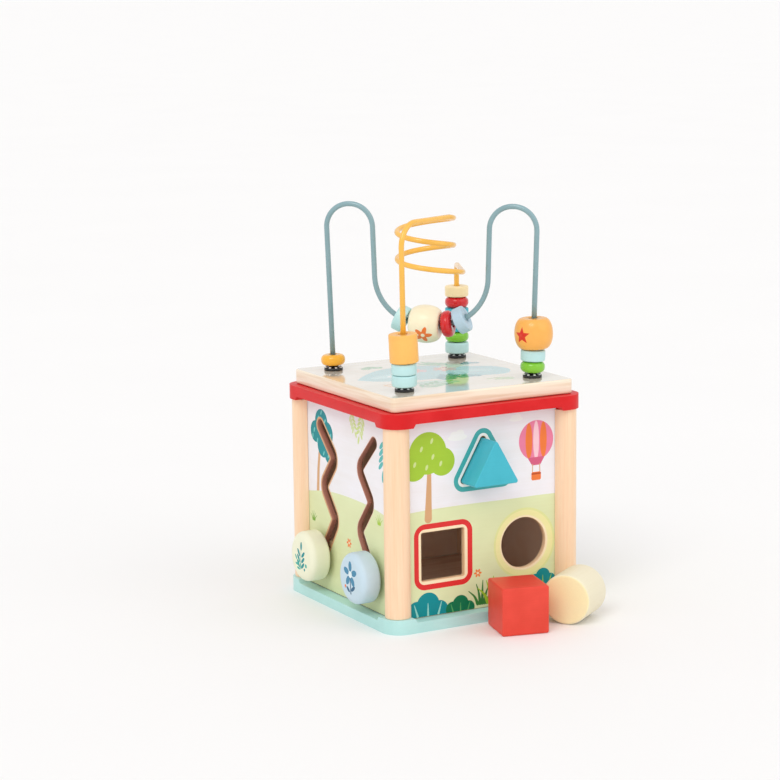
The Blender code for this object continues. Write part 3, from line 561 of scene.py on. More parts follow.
def bead_print(name, colour, mark, direction, axis, height, size, star, coat):
    """Paint with a star or a five-petal flower where a bead along the axis faces the direction."""
    look = Look(name, 0.34, coat, 0.1, specular=0.3)
    clouds = look.noise(60, 3)
    base = look.mix(look.ramp(clouds), darker(colour, 0.96), lighter(colour, 1.04))
    out = aligned((0, 0, 0), axis).inverted() @ Vector(direction)
    out = Vector((out.x, out.y, 0)).normalized()
    across = Vector((0, 0, 1)).cross(out)
    u = look.math("DIVIDE", look.dot(look.coordinates, across), size)
    v = look.math("DIVIDE", look.math("SUBTRACT", look.axis("Z"), height), size)
    r = look.math("SQRT", look.math("ADD", look.times(u, u), look.times(v, v)))
    sector = 2 * pi / 5
    turn = look.math("ADD", look.math("ARCTAN2", u, v), 2 * pi)
    if star:
        # A straight side of each point is a line at a slant to the middle of its sector
        slant = 0.548
        fold = look.math("ABSOLUTE", look.math("SUBTRACT", look.math("MODULO", turn, sector), sector / 2))
        inside = look.ramp(look.times(r, look.math("COSINE", look.math("ADD", fold, slant))), 0.40, 0.37)
    else:
        petals = look.math("MULTIPLY_ADD", look.math("COSINE", look.times(turn, 5.0)), 0.27, 0.73)
        petals = look.ramp(look.math("SUBTRACT", r, petals), 0.02, -0.02)
        inside = look.times(petals, look.ramp(r, 0.20, 0.25))
    facing = look.math("GREATER_THAN", look.dot(look.coordinates, out), 0.0)
    ink = look.ramp(look.noise(500, 2), 0.3, 0.7, 0.9, 1.0)
    look.bump(look.noise(220), 0.06)
    return look.done(look.mix(look.times(look.times(inside, facing), ink), base, mark),
                     look.ramp(clouds, 0.3, 0.7, 0.30, 0.38))


def two_tone(name, side, end, reach):
    """A painted cylinder whose flat ends have a colour of their own."""
    look = Look(name, 0.42)
    clouds = look.noise(45, 3)
    grains = look.noise(700, 2, ALONG["z"])
    ends = look.ramp(look.math("ABSOLUTE", look.axis("Z")), reach - 0.0009, reach - 0.0002)
    base = look.mix(look.times(ends, look.ramp(clouds, 0.2, 0.6, 0.8, 1.0)), side, end)
    base = look.mix(look.ramp(grains, 0.4, 0.75, 0, 0.10), base, darker(end, 0.75))
    look.bump(look.math("MULTIPLY_ADD", grains, 0.7, look.noise(220)), 0.12)
    return look.done(base, look.ramp(clouds, 0.3, 0.7, 0.38, 0.48))


def steel(own, metallic):
    look = Look("zinc_screw", 0.4, metallic=metallic, own=own)
    return look.done(look.mix(look.ramp(look.noise(2000)), rgb(212, 214, 217), rgb(238, 239, 241)),
                     look.ramp(look.noise(900), 0.3, 0.7, 0.32, 0.5))


# Wires

def blue_path():
    """From foot to foot over two arches, with a valley between them."""
    span, arch_bend, inner_lean, valley_height, valley_bend = 0.0431, 0.021, 0.0033, 0.0455, 0.043
    foot = FOOT_OFFSET * sqrt(2)
    outer = foot + ARCH_LEAN
    inner = outer - span
    half = [(foot, 0), (outer, ARCH_TOP), (inner, ARCH_TOP), (inner - inner_lean, valley_height)]
    end = Vector(half[0]) - (Vector(half[1]) - Vector(half[0])).normalized() * WIRE_DEPTH
    flat = [(-end.x, end.y), *[(-s, z) for s, z in half[1:]], *half[:0:-1], (end.x, end.y)]
    along = Vector((1, -1, 0)).normalized()
    points = [along * s + Vector((0, 0, LID_TOP + z)) for s, z in flat]
    radii = [arch_bend, arch_bend, valley_bend]
    return rounded_path(points, radii + radii[::-1], radians(4))


def tangent_angle(centre, radius, point, side):
    """Where on a circle a line through a point touches it; side is 1 for a line that arrives, else -1."""
    way = Vector(point[:2]) - Vector(centre)
    return atan2(way.y, way.x) + side * acos(radius / way.length)


def yellow_path():
    """Up the front leg, round the helix, whose last turn is wider, and down the back leg."""
    helix, radius, helix_top, pitch = (-0.013, -0.013), 0.025, 0.1445, 0.024
    last_radius, last_side = 0.029, radians(149.2) + 2 * pi
    leg_bend, tail_height, tail_bend = 0.020, 0.088, 0.012
    foot, back = (Vector((s * FOOT_OFFSET, s * FOOT_OFFSET, LID_TOP)) for s in (-1, 1))
    top = foot + Vector((-LEG_LEAN, -LEG_LEAN, LEG_TOP))
    start = tangent_angle(helix, radius, top, 1)
    shift = last_radius - radius
    last = (helix[0] - shift * cos(last_side), helix[1] - shift * sin(last_side))
    end = tangent_angle(last, last_radius, back, -1)
    end += 2 * pi * ceil((last_side - end) / (2 * pi))
    steps = ceil((end - start) / radians(5))
    coil = []
    for i in range(steps + 1):
        angle = start + (end - start) * i / steps
        centre, r = (helix, radius) if angle < last_side else (last, last_radius)
        height = LID_TOP + helix_top - pitch * (angle - start) / (2 * pi)
        coil.append(Vector((centre[0] + r * cos(angle), centre[1] + r * sin(angle), height)))
    below = foot - (top - foot).normalized() * WIRE_DEPTH
    tail = [coil[-1], back + Vector((0, 0, tail_height)), back - Vector((0, 0, WIRE_DEPTH))]
    return rounded_path([below, top, coil[0]], [leg_bend])[:-1] + coil + rounded_path(tail, [tail_bend])[1:]


# Colours; a fourth number is the gloss mask of a board's bare side or back
SKY = rgb(240, 238, 243)
HILL = rgb(223, 230, 182)
LIME = rgb(166, 203, 58)
LEAF = rgb(92, 172, 88)
PALE_LEAF = rgb(208, 226, 150)
TEAL = rgb(0, 140, 148)
KNOB_TEAL = rgb(0, 142, 146)
PALE_TEAL = rgb(70, 180, 165)
NAVY = rgb(40, 95, 130)
DEEP_GREEN = rgb(8, 118, 78)
TAN = rgb(214, 166, 122)
CREAM = rgb(250, 232, 195)
PINK = rgb(236, 130, 165)
ORANGE = rgb(240, 125, 60)
WHITE = rgb(244, 246, 244)
POND = rgb(176, 220, 222)
RIPPLE = rgb(184, 226, 228)
BOARD_EDGE = (*rgb(240, 205, 165), 0.0)
# Brown sides of the left panel: brown paint, darkened with painted shade for the walls of its slots
SHADED_BROWN_EDGE = (*rgb(184, 128, 110), 0.0)
HARDBOARD = (*rgb(246, 220, 198), 0.0)


# Motifs, in millimetres

def placed(parts, x, y, size, turn=0):
    """Parts that are drawn about the origin at size 1, brought to their place."""
    c, s = size * cos(radians(turn)), size * sin(radians(turn))
    return [([(x + u * c - v * s, y + u * s + v * c) for u, v in outline], colour)
            for outline, colour in parts]


def tree(x, y, size, crown=LIME, light=PALE_LEAF):
    parts = [(widened([(0, 0), (0.03, 0.9)], (0.07, 0.035)), TAN)]
    parts += [(circle(*spot, 40), crown)
              for spot in ((0, 1.12, 0.36), (-0.26, 0.92, 0.25), (0.28, 0.95, 0.24))]
    parts += [(ellipse(*spot, 0.05, 0.025, 70, 14), light)
              for spot in ((-0.12, 1.2), (0.1, 1.05), (-0.25, 0.95), (0.25, 0.92), (0.08, 1.32),
                           (-0.02, 0.88))]
    return placed(parts, x, y, size)


def balloon(x, y, size):
    neck = [(-0.5, -0.85), (0.5, -0.85), (0.24, -1.25), (-0.24, -1.25)]
    parts = [(circle(0, 0, 1, 56), PINK), *((ellipse(side * 0.42, 0, 0.2, 0.9), ORANGE) for side in (-1, 1)),
             (ellipse(0, 0, 0.17, 0.98), rgb(250, 205, 215)),
             (rounded_outline(neck, 0.05), rgb(214, 95, 130)),
             *((widened([(side * 0.2, -1.2), (side * 0.22, -1.62)], 0.025, 3), TAN) for side in (-1, 1)),
             (rectangle(0.56, 0.42, 0.1, (0, -1.8)), ORANGE),
             (rectangle(0.56, 0.09, 0.03, (0, -1.68)), rgb(190, 80, 40))]
    return placed(parts, x, y, size)


def bush(x, y, size, colour=DEEP_GREEN, vein=LIME):
    parts = [(circle(*spot, 32), colour)
             for spot in ((-0.55, 0.2, 0.45), (0, 0.42, 0.55), (0.55, 0.15, 0.42))]
    for root, turn in ((-0.5, 20), (0, 0), (0.5, -20)):
        stem = [(root, 0), (root - 0.45 * sin(radians(turn)), 0.5)]
        parts.append((widened(stem, (0.05, 0.015), 4), vein))
    return placed(parts, x, y, size)


def tuft(x, y, size, colour=LIME):
    parts = []
    for out, h in ((-0.6, 0.7), (-0.25, 1.0), (0.05, 1.15), (0.35, 0.9), (0.65, 0.65)):
        blade = curve_through([(0.4 * out, 0), (0.7 * out, 0.55 * h), (1.25 * out, h)], 4)
        parts.append((widened(blade, (0.09, 0.02), 4), colour))
    return placed(parts, x, y, size)


def flower(x, y, size, petals=ORANGE, centre=CREAM, count=6, turn=0):
    parts = []
    for i in range(count):
        angle = 360 * i / count + turn
        middle = arc((0, 0), 0.6, radians(angle), 0, 1)[0]
        parts.append((ellipse(*middle, 0.4, 0.24, angle, 18), petals))
    return placed(parts + [(circle(0, 0, 0.26, 24), centre)], x, y, size)


def cloud(x, y, size):
    puffs = ((0, 0, 0.9, 0.26), (-0.3, 0.2, 0.36, 0.3), (0.22, 0.26, 0.42, 0.36))
    return placed([(ellipse(*puff), WHITE) for puff in puffs], x, y, size)


def hill(horizon, colour=HILL):
    return [([(-95, -5), (95, -5), *curve_through(horizon)[::-1]], colour)]


def sprig(x, y, length, turn, colour, pairs=4, leaf=0.16, spread=0.14):
    parts = [(widened([(0, 0), (1, 0)], (0.02, 0.01), 3), colour)]
    parts += [(ellipse(0.2 + 0.72 * i / pairs, side * spread, leaf, leaf * 0.38, side * 42, 16), colour)
              for i in range(pairs) for side in (-1, 1)]
    return placed(parts + [(ellipse(1, 0, leaf, leaf * 0.4, 0, 16), colour)], x, y, length, turn)


# Body

def plates():
    """Base plate and top frame, with the grooves and the stopped rabbets for the panels."""
    groove = (PANEL_HALF_WIDTH + GAP, PANEL_BACK - GAP, PANEL_FACE + GAP)
    lobe, corner, edge, opening_width, opening_corner = 0.026, 0.017, 0.0013, 0.156, 0.006
    rabbet = (PLATE_WIDTH / 2 - lobe, PANEL_BACK, PLATE_WIDTH / 2 + OVERCUT)
    outline = rectangle(PLATE_WIDTH, PLATE_WIDTH, corner)
    opening = rectangle(opening_width, opening_width, opening_corner)
    for node, holes, low, grooved, slot, material in (
            ("base_plate", [], 0.0, PLATE_THICKNESS, "mint_paint", BASE_LOOK),
            ("top_frame", [opening], FRAME_UNDERSIDE, FRAME_UNDERSIDE, "red_paint", FRAME_LOOK)):
        z = (grooved - RABBET_DEPTH, grooved + RABBET_DEPTH)
        open_end = 1 if grooved > low else -1
        spans = []
        for (half, start, stop), end in ((groove, ()), (rabbet, (open_end,))):
            for a, b in (((-half, -stop), (half, -start)), ((-half, start), (half, stop)),
                         ((-stop, -half), (-start, half)), ((start, -half), (stop, half))):
                spans.append(((*a, z[0]), (*b, z[1]), *end))
        plate = prism(node + "_wood", outline, [(0, low + PLATE_THICKNESS), (0, low)], holes)
        stand_for(carved(plate, boxes(spans), edge), node, slot, material)


def posts():
    """Four round posts with a groove for each of the two panels that they hold."""
    half, deep, shallow = PANEL_THICKNESS / 2 + GAP, PANEL_HALF_WIDTH + GAP, POST_AXIS - POST_RADIUS - OVERCUT
    low, high = PLATE_THICKNESS + GAP, FRAME_UNDERSIDE - GAP
    along, across = (shallow, deep), (POST_AXIS - half, POST_AXIS + half)
    for name, (sx, sy) in zip(("front_left", "front_right", "back_right", "back_left"), CORNERS):
        post = lathe(f"post_{name}_wood", [(0, high), (POST_RADIUS, high), (POST_RADIUS, low), (0, low)], 96)
        post.data.transform(moved(sx * POST_AXIS, sy * POST_AXIS, 0))
        spans = []
        for xs, ys in ((along, across), (across, along)):
            xs, ys = sorted(sx * x for x in xs), sorted(sy * y for y in ys)
            spans.append(((xs[0], ys[0], low - OVERCUT), (xs[1], ys[1], high + OVERCUT)))
        stand_for(carved(post, boxes(spans)), f"post_{name}", "peach_wood", POST_LOOK)


def slot_outline(side, margin=0.0):
    turns = [(side * out, height) for out, height in SLOT_TURNS]
    return widened(rounded_path(turns, [SLOT_TURN_RADIUS] * 3), SLOT_HALF_WIDTH + margin)


def panels():
    """Four printed panels; the front one has the shape sorter's holes, the left one the sliders' slots."""
    hole_out, hole_up, clearance, edge = 41.5, 63.5, 0.9, 0.35
    holes = [rectangle(43.5, 43.5, 1.5, (-hole_out, hole_up)), circle(hole_out, hole_up, 23, 96),
             rounded_triangle(clearance)]
    front = hill([(-95, 103), (-60, 105), (-20, 105.5), (25, 105), (60, 105), (95, 104)])
    front += cloud(-26, 166, 11) + cloud(34, 176, 8) + tree(-56, 97, 52) + balloon(55, 155, 18)
    front += [(circle(42.5, 63.2, 32), rgb(226, 230, 160)), (circle(42.5, 63.2, 30), rgb(240, 234, 168)),
              (circle(42, 63.4, 25), CREAM), (rectangle(59, 59, 11, (-41, 63.3)), rgb(222, 50, 50)),
              (rectangle(49.4, 49.4, 6, (-41.2, 63.4)), CREAM), (rounded_triangle(8), rgb(70, 172, 172)),
              (rounded_triangle(3.6), WHITE)]
    front += bush(-57, 11, 21, TEAL, rgb(150, 215, 205)) + bush(-24, 10, 15, DEEP_GREEN, rgb(90, 170, 100))
    front += tuft(-2, 14, 18, rgb(60, 130, 60)) + tuft(9, 14, 20) + flower(-6, 42, 4)
    front += bush(62, 24, 14, TEAL, LIME) + flower(66, 14, 5, PINK, CREAM) + bush(38, 10, 14)
    left = [(widened([(-57, 94), (-55, 120), (-50, 150)], (2.6, 1.8)), TAN)]
    left += [(circle(-48 + dx, 152 + dy, r, 40), TEAL) for dx, dy, r in
             ((0, 12, 12), (-11, 2, 10), (11, 3, 11), (3, -9, 11), (14, -16, 8))]
    left += [(ellipse(-48 + dx, 152 + dy, 2.6, 1.1, turn, 14), rgb(110, 200, 196)) for dx, dy, turn in
             ((-6, 15, 60), (-14, 3, 70), (7, 14, 50), (17, 2, 60), (13, -17, 60), (-8, -6, 75), (0, 21, 65),
              (-17, -3, 80), (19, -12, 50), (4, -16, 60))]
    left += hill([(-95, 94), (-74.6, 96), (-38, 102), (0, 104), (38, 103.4), (64, 100.7), (95, 95)])
    # A tan band round the left slot; round the right slot a thin pale pink rim for its bare edge, lightened as a
    # painted highlight
    left += [(slot_outline(-1, 2.2), TAN), (slot_outline(1, 0.9), rgb(226, 190, 175))]
    left += sprig(8, 181, 20, -62, PALE_LEAF) + sprig(30, 182, 24, -108, PALE_LEAF)
    left += sprig(70, 168, 34, -96, rgb(90, 185, 185)) + tuft(0, 14, 12) + tuft(58, 90, 8)
    left += flower(2, 62, 4.5) + tuft(-66, 70, 8, rgb(120, 170, 60))
    right = hill([(-95, 98), (-40, 106), (10, 101), (60, 107), (95, 103)])
    right += hill([(-95, 52), (-50, 60), (0, 50), (55, 58), (95, 50)], PALE_LEAF)
    right += tree(-46, 96, 46) + tree(44, 98, 40, TEAL, POND) + cloud(2, 164, 15)
    right += balloon(12, 132, 9) + bush(-50, 12, 18, TEAL, POND) + bush(48, 10, 15)
    right += tuft(0, 14, 16) + flower(-20, 60, 6, PINK, CREAM) + flower(28, 70, 5)
    back = hill([(-95, 104), (-30, 99), (30, 107), (95, 99)])
    back += hill([(-95, 44), (-20, 56), (40, 46), (95, 56)], PALE_LEAF)
    back += tree(-10, 100, 50, TEAL, POND) + tree(52, 102, 36) + cloud(-50, 160, 14)
    back += cloud(40, 172, 10) + bush(-52, 10, 17) + bush(56, 10, 15, TEAL, POND)
    back += tuft(-16, 14, 15) + flower(22, 66, 6) + flower(-44, 74, 5, PINK, CREAM)
    low, high = PLATE_THICKNESS - RABBET_DEPTH + GAP, FRAME_UNDERSIDE + RABBET_DEPTH - GAP
    outline = rectangle(2 * PANEL_HALF_WIDTH / MM, (high - low) / MM, 0.5, (0, (low + high) / 2 / MM))
    for quarter, (node, holes, art) in enumerate((
            ("front_panel", holes, front), ("right_panel", [], right), ("back_panel", [], back),
            ("left_panel", [slot_outline(-1), slot_outline(1)], left))):
        # The left panel's sides are brown with painted shade for its slots' walls; the other boards show bare
        # edges
        board = prism(node + "_print", metres(grown(outline, -edge)),
                      edge_profile(PANEL_FACE, PANEL_BACK, edge * MM, 2),
                      [metres(grown(hole, edge)) for hole in holes], art, (*SKY, 1.0),
                      SHADED_BROWN_EDGE if node == "left_panel" else BOARD_EDGE, HARDBOARD)
        stand_for(board, node, "printed_panel", PANEL_LOOK, turned(90 * quarter, "Z") @ turned(90, "X"))


# Sliders and blocks

def sliders():
    """Two knobs with a printed sprig or flower, their pegs, and the discs that hold them inside."""
    radius, face_edge, back_edge, peg_radius = 0.023, 0.006, 0.003, 0.00475
    back = PANEL_FACE + 0.0045
    face, socket, flat = back + 0.019, back + 0.010, radius - face_edge
    rim = quarter_arc((0, face - face_edge), face_edge, 8)
    rim += arc((face_edge - back_edge, back + back_edge), back_edge, 0, -pi / 2, 5)
    rim += [(peg_radius + GAP - flat, z) for z in (back, socket)]
    hole, disc_radius, thickness, edge, outer = 0.002, 0.012, 0.005, 0.001, PANEL_BACK - 0.0006
    peg = mirrored([(0, socket - GAP), (peg_radius, socket - GAP)], socket + outer)
    disc = mirrored([(hole, outer), (disc_radius - edge, outer), (disc_radius - 0.0003, outer - 0.0003),
                     (disc_radius, outer - edge)], 2 * outer - thickness)
    left = sprig(-2, -12, 22, 84, KNOB_TEAL, 3, 0.19, 0.19) + sprig(-2, -12, 13, 128, PALE_TEAL, 2, 0.22, 0.2)
    left += [(circle(9, -7, 1.9, 24), PALE_TEAL), (circle(6, -11, 1.4, 20), KNOB_TEAL)]
    right = [(widened([(1, -13), (0, 1)], (0.9, 0.6), 6), NAVY), (ellipse(5, -8, 4.2, 1.7, 35), NAVY),
             (ellipse(-4, -10, 3.6, 1.5, 145), NAVY)]
    right += flower(0, 4, 12, rgb(66, 136, 172), rgb(226, 240, 244), 5, 18)
    right.append((circle(-9, -8, 1.5, 20), ORANGE))
    for name, out, slot, ground, art in (("left", 0.047, "cream_green_paint", rgb(240, 240, 214), left),
                                         ("right", -0.047, "pale_blue_paint", rgb(198, 219, 232), right)):
        place = moved(0, out, 0.042) @ turned(-90, "Y")
        knob = prism(f"knob_{name}_turned", circle(0, 0, flat, 96), rim, (), art, *[(*ground, 1.0)] * 3)
        stand_for(knob, f"slider_knob_{name}", slot, KNOB_LOOK, place @ turned(-90, "Z"))
        stand_for(lathe(f"peg_{name}_turned", peg, 48), f"slider_peg_{name}", "peach_wood", PEG_LOOK, place)
        stand_for(lathe(f"disc_{name}_turned", disc, 64, ring=True), f"slider_disc_{name}", "plywood",
                  PLY_LOOK, place)


def blocks():
    """The triangle block in its hole, and the cube and the cylinder on the floor in front."""
    edge, half = 0.0009, BLOCK_LENGTH / 2
    outline = grown(metres(rounded_triangle(0, (0, 0))), -edge)
    low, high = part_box("triangle_block")
    stand_for(prism("triangle_block_wood", outline, edge_profile(half, -half, edge)), "triangle_block",
              "turquoise_paint", TRIANGLE_LOOK, moved(0, (low.y + high.y) / 2, 0.1379) @ turned(90, "X"))

    data = bmesh.new()
    bmesh.ops.create_cube(data, size=BLOCK_LENGTH)
    bmesh.ops.bevel(data, geom=list(data.edges), offset=0.0018, segments=5, profile=0.5, affect="EDGES")
    stand_for(finish(data, "cube_block_wood", radians(50)), "cube_block", "block_red_paint", CUBE_LOOK,
              moved(0.0074, -0.1338, half) @ turned(-13.7, "Z"))

    edge = 0.0023
    rim = quarter_arc((CYLINDER_RADIUS - edge, half - edge), edge, 5)
    turn = radians(35.5)
    stand_for(lathe("cylinder_block_wood", mirrored([(0, half), *rim]), 120), "cylinder_block", "cream_paint",
              CYLINDER_LOOK, aligned((0.0666, -0.1322, CYLINDER_RADIUS), (cos(turn), sin(turn), 0)))


# Lid

def lid():
    """The lid board with a printed pond, its two wires, and their feet with a ring of small domes each."""
    pond = curve_through([(-74, 4), (-58, 22), (-34, 40), (-8, 46), (18, 38), (40, 20), (66, 6), (72, -16),
                          (58, -34), (34, -32), (12, -20), (-8, -26), (-34, -22), (-60, -12), (-74, 4)], 5)
    art = [(pond[:-1], rgb(150, 209, 214))]
    art += [(ellipse(-40, 8, 20, 7, 12), RIPPLE), (ellipse(40, -6, 18, 6, -20), RIPPLE)]
    art += [(ellipse(34, 24, 17, 8, 24), rgb(214, 232, 190))]
    art += [(ellipse(-20, -42, 22, 9, -14), rgb(190, 222, 205))]
    art += sprig(-44, -58, 40, 24, rgb(112, 184, 120)) + sprig(-8, -36, 34, 50, TEAL, 4, 0.2)
    art += bush(22, -32, 12, TEAL, POND) + flower(22, 15, 12, rgb(240, 140, 92), CREAM)
    art += flower(-4, 19, 10, rgb(240, 170, 168), ORANGE) + flower(4, 56, 8)
    art += sprig(38, 34, 32, 138, LEAF, 4, 0.19) + bush(-32, 52, 11, LEAF, WHITE)
    art += flower(-62, -34, 7, rgb(245, 185, 110), WHITE) + bush(58, 28, 10, TEAL, POND)
    art += sprig(52, -60, 24, 160, rgb(150, 200, 90)) + cloud(-36, 4, 9)
    wood_paint = (*rgb(247, 239, 225), 1.0)
    width, corner, thickness, edge = 0.1845, 0.005, 0.013, 0.0015
    board = prism("lid_board_print", grown(rectangle(width, width, corner), -edge),
                  edge_profile(LID_TOP, LID_TOP - thickness, edge, 5), (), art, wood_paint,
                  (*rgb(246, 230, 206), 0.0), wood_paint)
    stand_for(board, "lid_board", "clear_wood", LID_LOOK)

    bore, boss, boss_edge, height = WIRE_RADIUS + 0.0005, 0.0044, 0.0003, 0.004
    flange, flange_edge, flange_height = 0.0085, 0.0006, 0.0024
    foot_profile = [(bore, height), (boss - boss_edge, height), (boss, height - boss_edge),
                    (boss, flange_height), (flange - flange_edge, flange_height),
                    (flange, flange_height - flange_edge), (flange, 0), (bore, 0)]
    domes, dome_radius, dome_height, dome_ring, dome_base = 8, 0.0013, 0.0011, 0.0070, 0.0023
    dome_profile = [(dome_radius * x, dome_height * z) for x, z in quarter_arc((0, 0), 1, 5)] + [(0, 0)]
    for name, turn, (sx, sy) in zip(("front", "right", "back", "left"), (42, 29, 35, 35), CORNERS):
        place = moved(sx * FOOT_OFFSET, sy * FOOT_OFFSET, LID_TOP + GAP)
        foot = lathe(f"foot_{name}_ring", foot_profile, 64, ring=True)
        stand_for(foot, f"wire_foot_{name}", "black_plastic", FOOT_LOOK, place)
        for i in range(domes):
            a = radians(360 / domes * i + turn)
            dome = lathe(f"foot_{name}_screw_{i + 1}", dome_profile, 20)
            offset = moved(dome_ring * cos(a), dome_ring * sin(a), dome_base)
            settle(dome, "lid", "zinc_screw", DOME_LOOK, place @ offset)

    for wire, path, slot, material in (("blue_wire", blue_path(), "blue_grey_coated_wire", BLUE_LOOK),
                                       ("yellow_wire", yellow_path(), "yellow_coated_wire", YELLOW_LOOK)):
        stand_for(tube(wire + "_coated", path, WIRE_RADIUS), wire, slot, material)


def bead_profile(diameter, length, edge, bore, steps=8):
    """A turned bead with rounded edges and a small chamfer at its bore."""
    r, h = diameter / 2, length / 2
    rim = quarter_arc((r - edge, h - edge), edge, steps)
    return mirrored([(bore, h - BORE_LIP), (bore + BORE_LIP, h), *rim])


def barrel_profile():
    """A bead that bulges evenly from face to face."""
    face, bulge, h = 0.0105, 0.00675, 0.01375
    side = [(face + bulge * u, h * v) for u, v in arc((0, 0), 1, pi / 2, -pi / 2, 36)]
    ends = mirrored([(LARGE_BORE, h - BORE_LIP), (LARGE_BORE + BORE_LIP, h)])
    return ends[:2] + side + ends[2:]


def beads():
    """All the beads, each along its leg, or in the valley along its hinge's axis."""
    round_edge, flat_edge, cylinder_edge = 0.0044, 0.0015, 0.001
    disc, large = (bead_profile(width, 0.010, round_edge, BORE) for width in (0.022, 0.024))
    flat_disc, flat_large = (bead_profile(width, 0.010, flat_edge, BORE, 5) for width in (0.022, 0.024))
    cylinder = bead_profile(0.0252, 0.0248, cylinder_edge, LARGE_BORE, 4)
    short = bead_profile(0.022, 0.0215, cylinder_edge, LARGE_BORE, 4)
    barrel = barrel_profile()
    lean = atan2(ARCH_LEAN, ARCH_TOP)
    s = sin(lean) / sqrt(2)
    leg_axis = {"left": Vector((-s, s, cos(lean))), "right": Vector((s, -s, cos(lean))),
                "front": Vector((-LEG_LEAN, -LEG_LEAN, LEG_TOP)).normalized(), "back": Vector((0, 0, 1))}
    view = Vector((0.5016, 0.8651, 0))
    tilts = {"front_orange": (2.0, 0.0003), "right_star": (3.5, 0.0005)}    # degrees about the view, and lift
    for name, profile in (
            ("left_yellow", disc), ("front_mint_lower", flat_disc), ("front_mint_upper", flat_disc),
            ("front_orange", cylinder), ("right_green", disc), ("right_mint", flat_disc),
            ("right_star", barrel), ("back_mint", flat_disc), ("back_green", disc), ("back_hidden", short),
            ("back_red", disc), ("back_cream", flat_disc), ("valley_mint", flat_large),
            ("valley_cream", barrel), ("valley_red", large), ("valley_blue", flat_large)):
        node = "bead_" + name
        leg, look = name.split("_")[:2]
        low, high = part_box(node)
        axis = VALLEY_AXES.get(node) or leg_axis[leg]
        tilt, lift = tilts.get(name, (0, 0))
        place = moved(*((low + high) / 2 + axis * lift)) @ turned(-tilt, view) @ aligned((0, 0, 0), axis)
        slot, material = BEAD_LOOKS.get(name) or BEAD_LOOKS[look]
        stand_for(lathe("turned_" + name, profile, 96, ring=True), node, slot, material, place)


# Looks
VALLEY_AXES = {j["child"]: Vector(j["axis"]) for j in frame["joints"] if j["child"].startswith("bead_valley")}
BASE_LOOK = base_paint()
FRAME_LOOK = painted("red_paint", rgb(214, 18, 22), 0.36, wear=0.12, specular=0.22)
POST_LOOK = wood("peach_wood", rgb(249, 218, 184), rgb(246, 205, 166), "z", 0.45)
PEG_LOOK = wood("peg_wood", rgb(240, 214, 176), rgb(224, 186, 142), "z", 0.5)
PLY_LOOK = wood("plywood", rgb(222, 190, 150), rgb(196, 156, 116), "y", 0.6)
LOCATING_BOARD_LOOK = wood("locating_board", rgb(222, 190, 150), rgb(196, 156, 116), "y", 0.6, own=False)
PANEL_LOOK = printed("panel_print", 0.08, 0.42)
LID_LOOK = printed("lid_print", 0.22, 0.12, 1.0)
KNOB_LOOK = printed("knob_print", 0.03, 0.40)
TRIANGLE_LOOK = painted("turquoise_paint", rgb(60, 180, 198), 0.38, wear=0.2, specular=0.4)
CUBE_LOOK = painted("block_red_paint", rgb(225, 67, 50), 0.42, wear=0.2, specular=0.3)
CYLINDER_LOOK = two_tone("cream_paint", rgb(236, 227, 198), rgb(246, 232, 180), BLOCK_LENGTH / 2)
FOOT_LOOK = painted("black_plastic", rgb(26, 27, 30), 0.35, mottle=0.1)
BLUE_LOOK = painted("blue_grey_coating", rgb(130, 163, 169), 0.25, 0.5)
YELLOW_LOOK = painted("yellow_coating", rgb(246, 186, 66), 0.25, 0.5)
DOME_LOOK, SCREW_LOOK = steel(True, 0.2), steel(False, 0.85)

GLOSSY, SATIN = (0.26, 0.7), (0.38, 0.15)    # roughness and lacquer of beads
BEAD_LOOKS = {name: (slot, painted("bead_" + name, rgb(*colour), *gloss, mottle=0.04, specular=0.25))
              for name, slot, colour, gloss in (
                  ("yellow", "yellow_paint", (246, 178, 40), GLOSSY),
                  ("mint", "pale_mint_paint", (188, 225, 225), SATIN),
                  ("orange", "orange_paint", (250, 188, 96), SATIN),
                  ("green", "green_paint", (126, 198, 38), GLOSSY),
                  ("turquoise", "turquoise_paint", (54, 178, 198), SATIN),
                  ("red", "red_paint", (212, 16, 26), GLOSSY),
                  ("cream", "cream_paint", (250, 228, 180), SATIN),
                  ("blue", "pale_blue_paint", (184, 210, 226), SATIN))}
BEAD_LOOKS["back_hidden"] = BEAD_LOOKS["turquoise"]
BEAD_LOOKS["right_star"] = ("orange_paint", bead_print(
    "bead_star", rgb(246, 178, 84), rgb(216, 20, 16), (-0.943, -0.333, 0), (0.0165, -0.0165, 0.9997),
    0.0, 0.0079, True, 0.3))
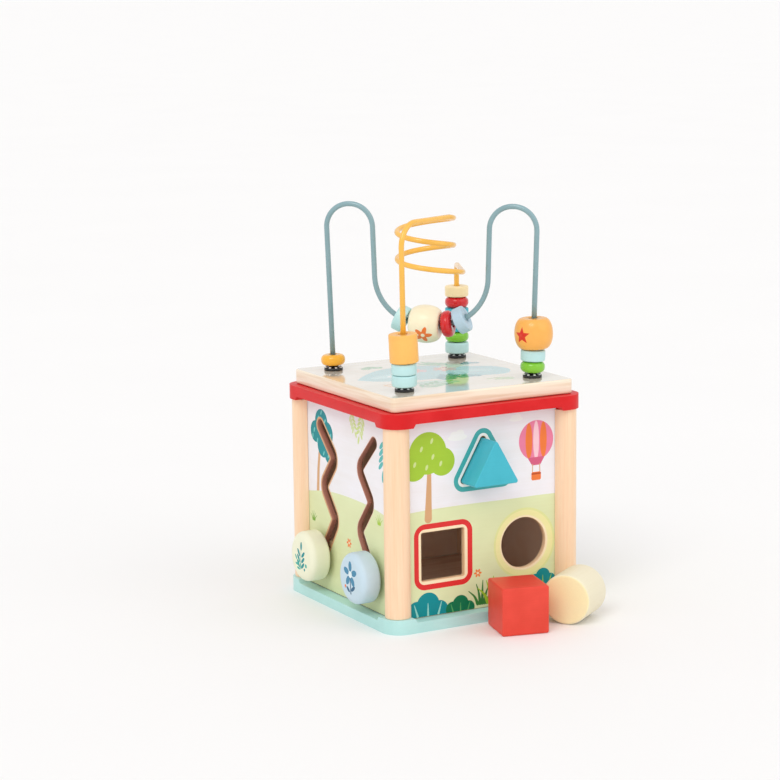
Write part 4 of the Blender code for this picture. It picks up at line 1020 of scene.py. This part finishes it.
BEAD_LOOKS["valley_cream"] = ("cream_paint", bead_print(
    "bead_flower", rgb(249, 238, 206), rgb(238, 112, 22), (-0.50, -0.72, -0.48),
    VALLEY_AXES["bead_valley_cream"], 0.0015, 0.0082, False, 0.2))

plates()
posts()
panels()
sliders()
blocks()
lid()
beads()
kept_looks = {"lid_locating_board": LOCATING_BOARD_LOOK, **{n: SCREW_LOOK for n in BODY_OF if "screw" in n}}
for node, material in kept_looks.items():
    dress(frame["nodes"][node], material)

# Stage
bpy.ops.mesh.primitive_plane_add(size=80)
floor = bpy.context.object
floor.name = "floor"
floor_look = Look("floor", 0.7, own=False)
floor_tone = floor_look.mix(floor_look.ramp(floor_look.noise(3)), rgb(244, 243, 242), rgb(245, 244, 243))
floor.data.materials.append(floor_look.done(floor_tone))

world = bpy.data.worlds.new("studio")
bpy.context.scene.world = world
world.use_nodes = True
for socket, value in zip(world.node_tree.nodes["Background"].inputs, ((0.99, 0.99, 1.0, 1.0), 0.85)):
    socket.default_value = value

for name, direction, strength, angle, colour in (("key", (-0.75, -0.6, 1.0), 0.85, 30, (1.0, 0.985, 0.96)),
                                                 ("fill", (0.6, -1.0, 0.8), 0.35, 50, (1, 1, 1))):
    light = bpy.data.lights.new(name, "SUN")
    light.energy, light.angle, light.color = strength, radians(angle), colour
    new_object(name, light).matrix_world = aligned((0, 0, 3), direction)

# The camera fitted to the photograph: picture width, focal length and shifts in pixels, sensor in mm
PICTURE, FOCAL, SHIFT, SENSOR = 780, 2397.24, (-25.863, 29.041), 36
camera_data = bpy.data.cameras.new("camera")
camera = new_object("camera", camera_data)
camera.location = (-1.06888, -1.84364, 0.57192)
camera.rotation_euler = [radians(a) for a in (79.2054, 0.5653, -29.813)]
camera_data.sensor_width = SENSOR
camera_data.lens = FOCAL / PICTURE * SENSOR
camera_data.shift_x, camera_data.shift_y = (pixels / PICTURE for pixels in SHIFT)
bpy.context.scene.camera = camera
bpy.context.scene.view_settings.view_transform = "Standard"
